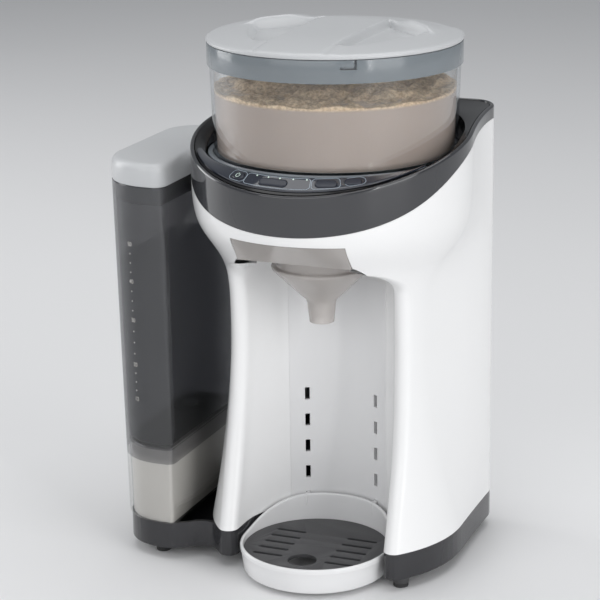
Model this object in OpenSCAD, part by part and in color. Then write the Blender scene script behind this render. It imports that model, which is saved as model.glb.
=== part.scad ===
// Baby formula maker: a counter-top machine that heats water, doses powder and
// mixes both into a bottle. Millimetres. The powder canister's axis is the
// construction axis, the front faces -Y and the counter is z = 0.

/* [Base] */
// Height of a foot under the base
foot_h = 8.5; // [6:0.5:14]
// Radius of a foot
foot_r = 6.2; // [4:0.1:8]
// Thickness of the rubber pad under a foot
foot_pad_t = 2.5; // [1:0.5:4]
// Height of the dark base
base_h = 18.5; // [15:0.5:26]
// Thickness of the base's floor
base_floor_t = 2.5; // [2:0.5:4]

/* [Body] */
// Half of the body's width at its straight sides
side_x = 88; // [84:0.5:100]
// Distance from the canister axis to the flat back
back_y = 90; // [86:1:110]
// Radius of the two back corners
corner_r = 18; // [10:1:26]
// Where the bow of the front runs out into the straight side
side_start_y = 45; // [38:1:52]
// Front radius at the foot of the body
foot_front_r = 89.5; // [86:0.5:94]
// Front radius at the waist
waist_r = 73.5; // [72:0.5:80]
// Front radius of the head, at the dark ring
head_r = 95.5; // [93:0.5:104]
// How far the head's front stands forward of the canister axis
head_shift = 6.5; // [2:0.5:8]
// Height of the waist above the base
waist_h = 138; // [120:1:150]
// Height above the base where the neck is half flared
neck_h = 200.5; // [194:0.5:206]
// Length over which the neck flares
neck_flare = 9.2; // [6:0.2:12]
// Wall of the housing
wall = 3; // [2:0.5:4]

/* [Bottle bay] */
// Half of the bay's width
bay_half_w = 54; // [50:0.5:57]
// Distance of the bay's round back from the canister axis, to its centre
bay_centre_y = -42; // [-46:0.5:-38]
// Height of the bay over the base
bay_h = 195; // [180:1:200]
// Radius between the bay's walls and its ceiling
bay_arch_r = 20; // [10:1:26]
// Radius of the nose between the bay and the outside
nose_r = 7; // [6:0.5:9]
// Thickness of the bay's ceiling
ceiling_t = 6; // [5:0.5:8]
// Half of the width of the panel let into the bay's back
back_panel_half_w = 36; // [32:1:40]
// Distance of the hook slots from the middle
slot_x = 25.5; // [22:0.5:28]
// Width of a hook slot
slot_w = 3; // [2:0.5:4]
// Height of a hook slot
slot_h = 9; // [7:0.5:12]
// Distance between hook slots
slot_pitch = 19.5; // [16:0.5:24]
// Number of hook slots in each row
slot_count = 5; // [3:1:7]

/* [Dark ring] */
// Height of the ring's lower edge at the front, over the bay's ceiling
ring_front_rise = 29; // [26:0.5:34]
// Height of the ring's band at the front
ring_front_h = 28.5; // [22:0.5:32]
// How far the lower edge climbs from the front to the back
ring_climb = 50; // [40:1:52]
// Height of the ring's band at the back
ring_back_h = 10; // [8:0.5:16]
// Height of the canister's seat over the ring's front lower edge
seat_rise = 37; // [34:0.5:38]

/* [Powder canister] */
// Outer radius at the foot of the clear wall
canister_foot_r = 82; // [78:0.5:83]
// Outer radius at the rim of the clear wall
canister_rim_r = 84.6; // [83:0.2:85]
// Height of the canister up to its lid
canister_h = 76; // [60:1:100]
// Wall of the canister
canister_wall_t = 2.2; // [1.6:0.2:3]
// Floor of the canister
canister_floor_t = 2.5; // [2:0.5:4]
// Height of the bayonet collar
collar_h = 15; // [10:1:20]
// Radius of the lid
lid_r = 86; // [85.5:0.5:88]
// Height of the lid, up to its finger grips
lid_h = 14; // [12:0.5:18]

/* [Powder drive] */
// Radius on which the pockets of the dosing wheel lie
pocket_ring_r = 34; // [30:0.5:38]
// Radius of one pocket
pocket_r = 8; // [6:0.5:9]
// Number of pockets
pocket_count = 8; // [6:1:9]
// Radius of the dosing wheel
wheel_r = 60; // [48:1:66]
// Thickness of the dosing wheel
wheel_t = 7.5; // [5:0.5:10]
// Radius of the drive shaft
shaft_r = 4; // [3:0.5:5]
// Gear module, the pitch diameter of one tooth
gear_module = 1.2; // [1:0.1:1.2]
// Teeth of the drive gear
gear_teeth = 30; // [18:2:30]
// Teeth of the motor pinion
pinion_teeth = 12; // [12:4:16]
// Face width of the gears
gear_t = 5; // [4:0.5:5.5]

/* [Funnel] */
// Half of the width of the funnel's flange
flange_half_w = 40; // [37:0.5:42]
// Thickness of the flange
flange_t = 3; // [2:0.5:3.5]
// Radius of the cone's mouth
cone_r = 31; // [27:0.5:32]
// Length of the cone below its short neck
cone_h = 19; // [15:0.5:24]
// Outer radius of the spout's top
spout_r = 12; // [10:0.5:14]
// Outer radius of the spout's tip
spout_tip_r = 8; // [6:0.5:9]
// Length of the spout
spout_h = 18; // [12:0.5:22]
// Wall of the funnel
funnel_wall = 1.8; // [1.4:0.2:2.4]

/* [Drip tray] */
// Outer radius of the tray's rim
tray_r = 52.7; // [48:0.1:52.8]
// Centre of the tray, from the canister axis
tray_y = -44.5; // [-48:0.5:-44.5]
// Height of the tray's bottom over the counter
tray_z = 3; // [2:0.5:5]
// Height of the tray's rim at the front, over the counter
tray_front_z = 22; // [20:0.5:25]
// Height of the tray's rim at the back, over the counter
tray_back_z = 37; // [36.5:0.5:44]
// Wall of the tray
tray_wall = 2.2; // [1.6:0.2:3]
// Height of the grille's top over the counter
grille_z = 17.6; // [15:0.2:18.5]
// Thickness of the grille
grille_t = 2.5; // [2:0.5:3.5]

/* [Water tank] */
// Left side of the tank, from the canister axis
tank_left = -149.5; // [-170:0.5:-145]
// Right side of the tank, from the canister axis
tank_right = -98; // [-104:0.5:-97.5]
// Front of the tank, from the canister axis
tank_front = -69; // [-74:0.5:-60]
// Back of the tank, from the canister axis
tank_back = 66; // [50:1:80]
// Height of the tank's rim over the base
tank_h = 242; // [200:1:250]
// How much narrower the tank is at its foot
tank_taper = 3.9; // [0:0.1:5]
// Wall of the tank
tank_wall = 2.2; // [1.6:0.2:3]
// Height of the pedestal that carries the tank
pedestal_h = 55; // [40:1:70]
// Height of the tank's lid
tank_lid_h = 16; // [12:0.5:20]
// Depth of the lid's skirt inside the tank
tank_skirt_h = 13; // [8:0.5:16]

/* [Rear cover] */
// Half of the width of the rear cover
cover_half_w = 60; // [40:1:66]
// Height of the rear cover
cover_h = 184; // [150:1:190]
// Height of the cover's lower edge over the base
cover_rise = 33; // [33:1:40]
// Thickness of the rear cover
cover_t = 2; // [1.5:0.5:2]
// Number of air slots in the rear cover
vent_count = 9; // [3:1:12]

/* [Keys] */
// Travel of a key
key_travel = 0.8; // [0.4:0.1:1]
// Gap round a key
key_gap = 0.35; // [0.3:0.05:0.5]

/* [Hidden] */
$fn = 64;

// Levels, from the counter up
base_top = foot_h + base_h;
bay_top = base_top + bay_h;
flange_z = bay_top + ceiling_t;
ring_low_front = bay_top + ring_front_rise;
ring_low_back = ring_low_front + ring_climb;
rim_front = ring_low_front + ring_front_h;
rim_back = ring_low_back + ring_back_h;
seat_z = ring_low_front + seat_rise;
lid_z = seat_z + canister_h;
lid_top = lid_z + lid_h;
tank_rim_z = base_top + tank_h;
tank_floor_z = base_top + pedestal_h;

// Clearances
face_gap = 0.3;
running_gap = 0.06;
pass = 0.5;

// The whole object is centred on its box, because other things stand round it
centre_x = (tank_left + head_r) / 2;
centre_y = (back_y - head_r - head_shift) / 2;
module placed() translate([-centre_x, -centre_y, 0]) children();

// ---------------------------------------------------------------- body form
waist_z = base_top + waist_h;
neck_z = base_top + neck_h;
foot_curve = 1.7;
shift_flare = 6;
shift_lag = 10.5;

// Front radius of the body at height z: a waist that flares out up and down
function front_r(z) = waist_r
    + (head_r - waist_r) / (1 + exp((neck_z - z) / neck_flare))
    + (foot_front_r - waist_r) * pow(max(0, (waist_z - z) / waist_h), foot_curve);
// How far the centre of the front circle stands forward at height z
function front_y(z) = -head_shift / (1 + exp((neck_z + shift_lag - z) / shift_flare));

function arc(cx, cy, r, a0, a1, n, first = 0) =
    [for (i = [first:n]) let (a = a0 + (a1 - a0) * i / n) [cx + r * cos(a), cy + r * sin(a)]];
function quad(p, q, s, n) = [for (i = [1:n]) let (t = i / n)
    (1 - t) * (1 - t) * p + 2 * t * (1 - t) * q + t * t * s];
function mirrored(pts) = [for (i = [len(pts) - 1:-1:0]) [-pts[i][0], pts[i][1]]];

// Half width of the bay at height z, with the arch under its ceiling
arch_z = bay_top - bay_arch_r;
function bay_w(z) = bay_half_w - (z > arch_z
    ? bay_arch_r - sqrt(max(0, pow(bay_arch_r, 2) - pow(min(z - arch_z, bay_arch_r), 2))) : 0);

// Centre of the nose circle, inside the outer circle a and tangent to the bay
function nose_y(a, b, x, yc) =
    let (line_y = yc - sqrt(a * a - x * x),
         ring_y = (yc * yc - bay_centre_y * bay_centre_y - a * a + b * b) / (2 * (yc - bay_centre_y)))
    line_y < bay_centre_y ? line_y : ring_y;
function nose_x(a, x, y, yc) = y < bay_centre_y ? x : sqrt(a * a - pow(y - yc, 2));

nose_steps = 5;
front_steps = 9;
flank_steps = 6;
corner_steps = 5;
bay_steps = 14;

// Right half of the outer outline from the nose back to the middle of the back
function flank(r, yc, inset, a0) =
    let (px = side_x - inset, dx = px, dy = side_start_y - yc,
         phi = atan2(dy, dx) - acos(r / norm([dx, dy])),
         t = [r * cos(phi), yc + r * sin(phi)],
         corner_y = back_y - corner_r)
    concat(arc(0, yc, r, a0, phi, front_steps, 1),
        quad(t, [px, side_start_y], [px, corner_y], flank_steps),
        arc(side_x - corner_r, corner_y, corner_r - inset, 0, 90, corner_steps, 1));

// Outline of the body at height z, shrunk by inset. An open one goes round the bay.
function outline(z, inset, open, half_min = 0) =
    let (r = front_r(z) - inset, yc = front_y(z), n_r = nose_r - inset,
         w = max(bay_w(z) + inset, half_min),
         a = r - n_r, b = w + n_r,
         ny = nose_y(a, b, w + n_r, yc), nx = nose_x(a, w + n_r, ny, yc),
         a_out = atan2(ny - yc, nx),
         a_in = ny < bay_centre_y ? 180 : atan2(ny - bay_centre_y, nx) - 180 + 360,
         nose = arc(nx, ny, n_r, a_in, 360 + a_out, nose_steps),
         face = arc(0, yc, r, -90, a_out, nose_steps),
         right = concat(open ? nose : face, flank(r, yc, inset, a_out)),
         left = mirrored(right),
         a_bay = ny < bay_centre_y ? 0 : atan2(ny - bay_centre_y, nx),
         bay = [for (i = [1:bay_steps - 1])
             let (q = 180 - a_bay - (180 - 2 * a_bay) * i / bay_steps)
             [w * cos(q), bay_centre_y + w * sin(q)]])
    open ? concat(right, left, bay)
        : concat(right, [for (i = [0:len(left) - 2]) left[i]]);

function raise(pts, z) = [for (p = pts) [p[0], p[1], z]];

// A moulding is made whole as one mesh, at its own size
module moulded() resize([0, 0, 0]) children();

// Solid through a stack of outlines with equal numbers of points
module loft(rings) {
    n = len(rings[0]);
    m = len(rings);
    polyhedron(points = [for (ring = rings) each ring],
        faces = concat([[for (i = [0:n - 1]) i]],
            [for (k = [0:m - 2], i = [0:n - 1]) let (j = (i + 1) % n)
                [k * n + i, (k + 1) * n + i, (k + 1) * n + j, k * n + j]],
            [[for (i = [n - 1:-1:0]) (m - 1) * n + i]]));
}

low_steps = 7;
arch_steps = 5;
head_steps = 6;
head_top = rim_back + 6;
low_levels = [for (i = [0:low_steps]) base_top + (arch_z - base_top) * i / low_steps];
arch_levels = [for (i = [1:arch_steps]) arch_z + bay_arch_r * sin(90 * i / arch_steps)];
head_levels = [for (i = [0:head_steps]) let (t = i / head_steps)
    bay_top + (head_top - bay_top) * pow(t, 1.6)];
ledge_half = flange_half_w + 8;

// The body as a solid block with its bay, from the base up into the ring
module body_block() {
    loft([for (z = concat(low_levels, arch_levels)) raise(outline(z, 0, true), z)]);
    loft([for (z = head_levels) raise(outline(z, 0, false), z)]);
}
// The hollow inside it
module body_hollow() {
    levels = concat(low_levels, [for (i = [0:len(arch_levels) - 2]) arch_levels[i]]);
    low = [for (i = [1:len(levels) - 1]) levels[i]];
    loft(concat([raise(outline(base_top, wall, true), base_top - pass)],
        [for (z = low) raise(outline(z, wall, true, ledge_half), z)],
        [raise(outline(bay_top, wall, true, ledge_half), flange_z)]));
    loft(concat([raise(outline(bay_top, wall, false), flange_z - 0.01)],
        [for (i = [1:head_steps]) let (z = head_levels[i])
            raise(outline(z, wall, false), z + (z > flange_z ? 0 : ceiling_t))]));
}

// The sweeping edges of the ring, seen from the side, as curves in y and z
edge_steps = 14;
function sweep_edge(p, q, s, e) = [for (i = [0:edge_steps]) let (t = i / edge_steps, u = 1 - t)
    u * u * u * p + 3 * u * u * t * q + 3 * u * t * t * s + t * t * t * e];
front_edge_y = -head_r - head_shift;
low_edge = sweep_edge([front_edge_y, ring_low_front], [-25, ring_low_front + 26],
    [-30, ring_low_back + 4], [back_y, ring_low_back]);
rim_edge = sweep_edge([front_edge_y, rim_front], [-30, rim_back - 10],
    [10, rim_back - 2], [back_y, rim_back]);
function rim_at(y) = lookup(y, rim_edge);

// Everything under an edge curve, across the whole width
module below(edge, floor_z = 0) {
    far = 140;
    translate([-far, 0, 0]) rotate([90, 0, 90]) linear_extrude(2 * far)
        polygon(concat([[-far, floor_z], [-far, edge[0][1]]], edge,
            [[far, edge[edge_steps][1]], [far, floor_z]]));
}

module bay_plan(grow = 0) {
    translate([0, bay_centre_y]) circle(bay_half_w + grow);
    translate([-bay_half_w - grow, bay_centre_y - 80]) square([2 * (bay_half_w + grow), 80]);
}

// Cut for the funnel: its passage through the ceiling and its window in the front
passage_half = cone_r + 2;
passage_drop = 6;
passage_back = 2;
lip_y = -81.3;
lip_rise = 17.7;
lip_run = 18.7;
module funnel_cut() {
    translate([-passage_half, -120, bay_top - passage_drop])
        cube([2 * passage_half, 120 + passage_back, ceiling_t + passage_drop + pass]);
    translate([-flange_half_w - face_gap, -120, flange_z])
        cube([2 * (flange_half_w + face_gap), 60, lip_rise + 0.8]);
}

// Plan of the cut that separates the panel in the bay's back
panel_top_z = bay_top - bay_arch_r - 4;
module back_panel_zone(gap = 0) {
    translate([-back_panel_half_w - gap, -10, base_top - 1])
        cube([2 * (back_panel_half_w + gap), 40, panel_top_z - base_top + 1 + gap]);
}

// ---------------------------------------------------------------- base
lobe_inset = 1.4;
bridge_front_y = -36;
bridge_back_y = 48;
notch_r = 12;
// The body's foot and the lobe under the tank, run together by a round notch
module base_plan() offset(r = -notch_r, $fn = 48) offset(r = notch_r, $fn = 48) union() {
    polygon(outline(base_top, 0, true));
    tank_foot_plan(tank_taper + lobe_inset);
    translate([tank_right - 4, bridge_front_y])
        square([14 - side_x - tank_right, bridge_back_y - bridge_front_y]);
}

foot_places = [[63.7, -49.1], [-115.8, -47.6], [66, 66], [-118, 42]];

module base_pan() placed() color([0.09, 0.09, 0.1]) moulded() difference() {
    translate([0, 0, foot_h]) linear_extrude(base_h) base_plan();
    translate([0, 0, foot_h + base_floor_t]) linear_extrude(base_h) offset(delta = -wall) base_plan();
}

module feet() placed() color([0.2, 0.2, 0.21]) for (p = foot_places)
    translate([p[0], p[1], foot_pad_t]) cylinder(r1 = foot_r - 0.8, r2 = foot_r, h = foot_h - foot_pad_t);

module foot_pads() placed() color([0.12, 0.12, 0.12]) for (p = foot_places)
    translate([p[0], p[1], 0]) cylinder(r = foot_r - 1, h = foot_pad_t);

// ---------------------------------------------------------------- housing
module housing_shell() placed() color([0.93, 0.93, 0.93]) moulded() difference() {
    intersection() {
        difference() {
            body_block();
            body_hollow();
        }
        below(low_edge);
    }
    funnel_cut();
    back_panel_zone();
    rear_cut();
    inlet_cut();
}

module bay_back_panel() placed() color([0.8, 0.8, 0.81]) moulded() difference() {
    intersection() {
        difference() {
            body_block();
            body_hollow();
        }
        back_panel_zone(-0.15);
    }
    for (s = [-1, 1], k = [0:slot_count - 1])
        translate([s * slot_x - slot_w / 2, -10, slot_low_z + k * slot_pitch])
            cube([slot_w, 40, slot_h]);
}
slot_low_z = base_top + 0.5;

cover_z = base_top + cover_rise;
rebate = 4;
module rear_cut() {
    translate([-cover_half_w + rebate, back_y - 10, cover_z + rebate])
        cube([2 * (cover_half_w - rebate), 20, cover_h - 2 * rebate]);
    translate([-cover_half_w - 0.2, back_y - cover_t, cover_z - 0.2])
        cube([2 * cover_half_w + 0.4, 20, cover_h + 0.4]);
    for (p = cover_screw_places()) translate([p[0], back_y - 10, p[1]])
        rotate([-90, 0, 0]) cylinder(r = screw_r + 0.05, h = 20);
}
screw_r = 1.3;
screw_head_r = 1.8;
function cover_screw_places() = [for (x = [-1, 1], z = [0, 1])
    [x * (cover_half_w - rebate / 2), z > 0 ? cover_z + cover_h - rebate / 2 : cover_z + rebate / 2]];

vent_w = 56;
vent_h = 2.6;
vent_pitch = 7;
module rear_cover() placed() color([0.9, 0.9, 0.9]) difference() {
    translate([-cover_half_w, back_y - cover_t, cover_z])
        cube([2 * cover_half_w, cover_t, cover_h]);
    for (k = [0:vent_count - 1])
        translate([-vent_w / 2, back_y - 10, cover_z + cover_h - 24 - k * vent_pitch])
            cube([vent_w, 20, vent_h]);
    for (p = cover_screw_places()) translate([p[0], back_y, p[1]]) rotate([90, 0, 0]) {
        translate([0, 0, -1]) cylinder(r = screw_head_r + 0.1, h = 1 + cover_t / 2);
        cylinder(r = screw_r + 0.05, h = 10);
    }
}

module cover_screws() placed() color([0.7, 0.7, 0.72]) for (p = cover_screw_places())
    translate([p[0], back_y - 0.2, p[1]]) rotate([90, 0, 0]) {
        cylinder(r = screw_head_r, h = cover_t / 2 - 0.2);
        cylinder(r = screw_r, h = wall + 2);
    }

inlet_x = -52;
inlet_w = 24;
inlet_h = 16;
inlet_z = base_top + 8;
module inlet_cut() translate([inlet_x - inlet_w / 2 - 0.2, back_y - 10, inlet_z - 0.2])
    cube([inlet_w + 0.4, 20, inlet_h + 0.4]);
module power_inlet() placed() color([0.1, 0.1, 0.1]) {
    difference() {
        union() {
            translate([inlet_x - inlet_w / 2, back_y - 18, inlet_z]) cube([inlet_w, 18, inlet_h]);
            translate([inlet_x - inlet_w / 2 - 2, back_y - wall - 2, inlet_z - 2])
                cube([inlet_w + 4, 2, inlet_h + 4]);
        }
        for (s = [-1, 1]) translate([inlet_x + s * 3.2, back_y - 12, inlet_z + inlet_h / 2])
            rotate([-90, 0, 0]) cylinder(r = 4.2, h = 20);
        translate([inlet_x - 3.2, back_y - 12, inlet_z + inlet_h / 2 - 4.2]) cube([6.4, 20, 8.4]);
    }
    for (s = [-1, 1]) translate([inlet_x + s * 4.3, back_y - 13, inlet_z + inlet_h / 2])
        rotate([-90, 0, 0]) cylinder(r = 1.2, h = 11);
}

// ---------------------------------------------------------------- ring, deck
module top_ring() placed() color([0.13, 0.13, 0.15]) moulded() difference() {
    intersection() {
        difference() {
            loft([for (z = ring_levels) raise(outline(z, 0, false), z)]);
            loft([for (z = ring_levels) raise(outline(z, wall, false), z == ring_levels[0] ? z - 1
                : z == head_top ? z + 1 : z)]);
        }
        below(rim_edge);
    }
    below(low_edge);
}
ring_levels = [for (t = [0, 0.08, 0.2, 0.4, 1]) ring_low_front - 4
    + (head_top - ring_low_front + 4) * t];

well_r = 86.8;
deck_gap = wall + face_gap;
deck_t = 2.5;
deck_low = seat_z - 4;
// Height of the deck at the edge of the canister's well and at the ring
ramp_front_y = -60;
ramp_back_y = 15;
function ramp(y) = let (t = min(1, max(0, (y - ramp_front_y) / (ramp_back_y - ramp_front_y))))
    t * t * (3 - 2 * t);
function deck_in(y) = seat_z + 1 + ramp(y) * (rim_at(y) - 2 - seat_z - 1);
function deck_out(y) = rim_at(y) - 0.8;
deck_rim = 1.5;
long_edge = 60;
// A plan with its long straight edges cut into n
function refined(pts, n) = [for (i = [0:len(pts) - 1]) let (p = pts[i], q = pts[(i + 1) % len(pts)])
    each norm(q - p) > long_edge ? [for (k = [0:n - 1]) p + (q - p) * k / n] : [p]];
deck_plan = refined(outline(seat_z, deck_gap, false), 20);
// The well's edge on the way from the axis to p. At the flat back the plan cuts it off.
function toward_axis(p, r) = min(r, norm(p) - deck_rim) * p / norm(p);
function beyond(w, t) = (norm(w) + t) * w / norm(w);

module ring_grid(profiles) {
    n = len(profiles);
    m = len(profiles[0]);
    polyhedron(points = [for (p = profiles) each p],
        faces = [for (i = [0:n - 1], j = [0:m - 1]) let (i2 = (i + 1) % n, j2 = (j + 1) % m)
            [i * m + j, i2 * m + j, i2 * m + j2, i * m + j2]]);
}

module top_deck() placed() color([0.06, 0.06, 0.07]) moulded() difference() {
    ring_grid([for (p = deck_plan) let (w = toward_axis(p, well_r), v = beyond(w, deck_rim - 0.3),
        zi = deck_in(p[1] * well_r / norm(p)), zo = deck_out(p[1]))
        [[w[0], w[1], deck_low], [w[0], w[1], zi], [p[0], p[1], zo], [p[0], p[1], zo - deck_t],
            [v[0], v[1], min(zi - deck_t, zo + (zi - zo) * 0.9 - deck_t)], [v[0], v[1], deck_low]]]);
    key_holes();
}

// The glossy strip on the deck's slope, which holds the keys
panel_end = 60;
panel_steps = 24;
panel_t = 1;
panel_lift = 0.7;
function reach(a, r) = head_shift * cos(a) + sqrt(r * r - pow(head_shift * sin(a), 2));
function slope_point(a, s, lift) =
    let (r_out = reach(a, head_r - deck_gap), r = well_r + (r_out - well_r) * s,
         zi = deck_in(-well_r * cos(a)), zo = deck_out(-r_out * cos(a)))
    [r * sin(a), -r * cos(a), zi + (zo - zi) * s + lift];
strip_in = 0.16;
strip_out = 0.88;
// A strip along the slope between two angles, from s0 to s1 across it and z0 to z1 over it
module slope_strip(a0, a1, s0, s1, z0, z1, steps, corner = 0) {
    rows = [for (i = [0:steps]) let (a = a0 + (a1 - a0) * i / steps,
        e = i == 0 || i == steps ? corner : 0)
        [slope_point(a, s0 + e, z1), slope_point(a, s1 - e, z1),
            slope_point(a, s1 - e, z0), slope_point(a, s0 + e, z0)]];
    polyhedron(points = [for (r = rows) each r],
        faces = concat([[0, 1, 2, 3]],
            [for (i = [0:steps - 1], j = [0:3]) let (k = (j + 1) % 4)
                [i * 4 + j, (i + 1) * 4 + j, (i + 1) * 4 + k, i * 4 + k]],
            [[for (j = [3:-1:0]) steps * 4 + j]]));
}
module control_panel() placed() color([0.04, 0.05, 0.08]) moulded() difference() {
    slope_strip(-panel_end, panel_end, strip_in, strip_out, panel_lift, panel_lift + panel_t,
        panel_steps, 0.14);
    key_holes();
}

// Keys: an oval cap on the slope at an angle from the front
key_w = 6;
key_depth = 3.6;
key_proud = 0.7;
power_key_at = [-21.5, 9];
volume_key_at = [-4.5, 20];
start_key_at = [17.3, 14];
info_key_at = [28, 11];
function slope_tilt(a) = let (p = slope_point(a, 0.3, 0), q = slope_point(a, 0.7, 0))
    atan2(p[2] - q[2], norm([q[0] - p[0], q[1] - p[1]]));
module on_slope(a) {
    p = slope_point(a, 0.52, panel_lift + panel_t);
    translate(p) rotate([0, 0, a]) rotate([slope_tilt(a), 0, 0]) children();
}
module oval(length, width) {
    straight = length - width;
    for (s = [-1, 1]) translate([s * straight / 2, 0]) circle(width / 2);
    translate([-straight / 2, -width / 2]) square([straight, width]);
}
module key_solid(at) placed() color([0.16, 0.17, 0.19]) on_slope(at[0])
    translate([0, 0, -key_depth]) linear_extrude(key_depth + key_proud) oval(at[1], key_w);
module key_holes() for (at = [power_key_at, volume_key_at, start_key_at, info_key_at])
    on_slope(at[0]) translate([0, 0, -12]) linear_extrude(24)
        oval(at[1] + 2 * key_gap, key_w + 2 * key_gap, $fn = 24);
module power_key() key_solid(power_key_at);
module volume_key() key_solid(volume_key_at);
module start_key() key_solid(start_key_at);
module info_key() key_solid(info_key_at);

// Board with the switches under the keys, on short posts under the deck
board_t = 1.6;
board_drop = key_depth + key_travel + 0.4;
board_post_r = 1.2;
board_span = [-32, 38];
board_z = panel_lift + panel_t - board_drop / cos(slope_tilt(0));
module panel_board() placed() color([0.1, 0.35, 0.2]) moulded() {
    slope_strip(board_span[0], board_span[1], 0.15, 0.44, board_z - board_t, board_z, 14);
    for (a = [-13, 6, 34]) on_slope(a)
        translate([0, 0, -board_drop - board_t]) cylinder(r = board_post_r,
            h = board_drop + board_t - (panel_lift + panel_t + deck_t) * cos(slope_tilt(a)) - 0.4);
}

// ---------------------------------------------------------------- canister seat
seat_t = 3.6;
seat_gap = 0.6;
seat_r = well_r - seat_gap;
seat_plate_z = seat_z - 0.4 - seat_t;
chute_y = -pocket_ring_r;
chute_bore_r = 10;
module canister_seat() placed() color([0.45, 0.47, 0.5]) difference() {
    union() {
        translate([0, 0, seat_plate_z]) cylinder(r = seat_r, h = seat_t);
        translate([0, 0, seat_plate_z]) difference() {
            cylinder(r = seat_r, h = seat_t + 2);
            cylinder(r = canister_foot_r + 0.8, h = 20);
        }
    }
    translate([-well_r, back_y - deck_gap - deck_rim - seat_gap, 0]) cube([2 * well_r, 10, seat_z + 10]);
    translate([0, 0, seat_plate_z - pass]) cylinder(r = bush_r, h = seat_t + 1);
    translate([0, chute_y, seat_plate_z - pass]) cylinder(r = chute_bore_r, h = seat_t + 1);
    translate([nozzle_x, nozzle_y, seat_plate_z - pass]) cylinder(r = nozzle_r + 0.2, h = seat_t + 1);
}

bush_r = 7;
bush_flange_r = 10;
shaft_low = seat_plate_z - 9;
module shaft_bush() placed() color([0.72, 0.55, 0.25]) difference() {
    union() {
        translate([0, 0, seat_plate_z]) cylinder(r = bush_r - 0.01, h = seat_t);
        translate([0, 0, seat_plate_z - 1.2]) cylinder(r = bush_flange_r, h = 1.2);
    }
    translate([0, 0, seat_plate_z - 3]) cylinder(r = shaft_r + running_gap, h = seat_t + 6);
}

dog_r = 6.5;
dog_h = 5;
module drive_shaft() placed() color([0.75, 0.76, 0.78]) {
    translate([0, 0, shaft_low]) cylinder(r = shaft_r, h = seat_z - shaft_low + 0.5);
    translate([0, 0, seat_z + 0.5]) cylinder(r = dog_r, h = dog_h, $fn = 6);
}

// ---------------------------------------------------------------- gears
pressure = 25;
backlash = 0.12;
function inv(a) = tan(a) * 180 / PI - a;
function tooth_half(r, rp) =
    let (rb = rp * cos(pressure), a = acos(min(1, rb / max(r, rb))))
    inv(pressure) - inv(a);
module gear(teeth, h) {
    rp = gear_module * teeth / 2;
    rb = rp * cos(pressure);
    r_tip = rp + 0.9 * gear_module;
    r_root = rp - 1.15 * gear_module;
    half = 90 / teeth - backlash / rp * 90 / PI;
    radii = [r_root, max(r_root + 0.01, rb), rp, r_tip];
    linear_extrude(h) polygon([for (k = [0:teeth - 1]) let (a0 = 360 * k / teeth)
        each concat(
            [for (r = radii) let (a = a0 - half - tooth_half(r, rp)) r * [cos(a), sin(a)]],
            [for (i = [3:-1:0]) let (r = radii[i], a = a0 + half + tooth_half(r, rp))
                r * [cos(a), sin(a)]])]);
}
gear_z = shaft_low + 1;
gear_r = gear_module * gear_teeth / 2;
motor_y = gear_r + gear_module * pinion_teeth / 2;
motor_shaft_r = 2.5;
module drive_gear() placed() color([0.9, 0.88, 0.8]) translate([0, 0, gear_z]) difference() {
    gear(gear_teeth, gear_t);
    translate([0, 0, -1]) cylinder(r = shaft_r + 0.02, h = gear_t + 2);
    for (k = [0:4]) rotate(72 * k) translate([gear_r * 0.58, 0, -1]) cylinder(r = 3, h = gear_t + 2);
}
module motor_pinion() placed() color([0.75, 0.6, 0.3]) translate([0, motor_y, gear_z]) difference() {
    gear(pinion_teeth, gear_t);
    translate([0, 0, -1]) cylinder(r = motor_shaft_r + running_gap, h = gear_t + 2);
}

bracket_t = 3;
bracket_z = shaft_low - bracket_t;
motor_r = 16;
motor_h = 36;
module gearmotor() placed() color([0.55, 0.56, 0.58]) translate([0, motor_y, 0]) {
    translate([0, 0, bracket_z - 14]) cylinder(r = motor_r, h = 14);
    translate([0, 0, bracket_z - motor_h]) cylinder(r = motor_r - 3, h = motor_h - 14);
    translate([0, 0, bracket_z]) cylinder(r = motor_shaft_r, h = gear_z + gear_t - bracket_z);
}
bracket_x = 34;
module motor_bracket() placed() color([0.62, 0.63, 0.65]) difference() {
    union() {
        translate([-bracket_x, -12, bracket_z]) cube([2 * bracket_x, motor_y + 30, bracket_t]);
        for (s = [-1, 1], y = [-8, motor_y + 14]) translate([s * (bracket_x - 4), y, bracket_z])
            cylinder(r = 3.5, h = seat_plate_z - bracket_z);
    }
    translate([0, motor_y, bracket_z - 1]) cylinder(r = motor_shaft_r + 0.3, h = bracket_t + 2);
}

// ---------------------------------------------------------------- powder and water paths
chute_r = 12.5;
chute_flange_r = 15;
chute_low = flange_z + flange_t + 2;
module powder_chute() placed() color([0.85, 0.85, 0.86]) translate([0, chute_y, 0]) difference() {
    union() {
        translate([0, 0, chute_low]) cylinder(r1 = chute_r - 2, r2 = chute_r, h = seat_plate_z - chute_low);
        translate([0, 0, seat_plate_z - 1.5]) cylinder(r = chute_flange_r - 1, h = 1.5);
    }
    translate([0, 0, chute_low - 1]) cylinder(r1 = chute_r - 4, r2 = chute_bore_r, h = seat_plate_z - chute_low + 2);
}

nozzle_x = 24;
nozzle_y = -30;
nozzle_r = 3;
module water_nozzle() placed() color([0.8, 0.8, 0.82]) translate([nozzle_x, nozzle_y, 0]) difference() {
    union() {
        translate([0, 0, chute_low + 1]) cylinder(r = nozzle_r, h = seat_plate_z - chute_low - 1);
        translate([0, 0, seat_plate_z - 3]) cylinder(r = nozzle_r + 2, h = 3);
    }
    translate([0, 0, chute_low]) cylinder(r = nozzle_r - 1.2, h = seat_plate_z);
}

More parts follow.
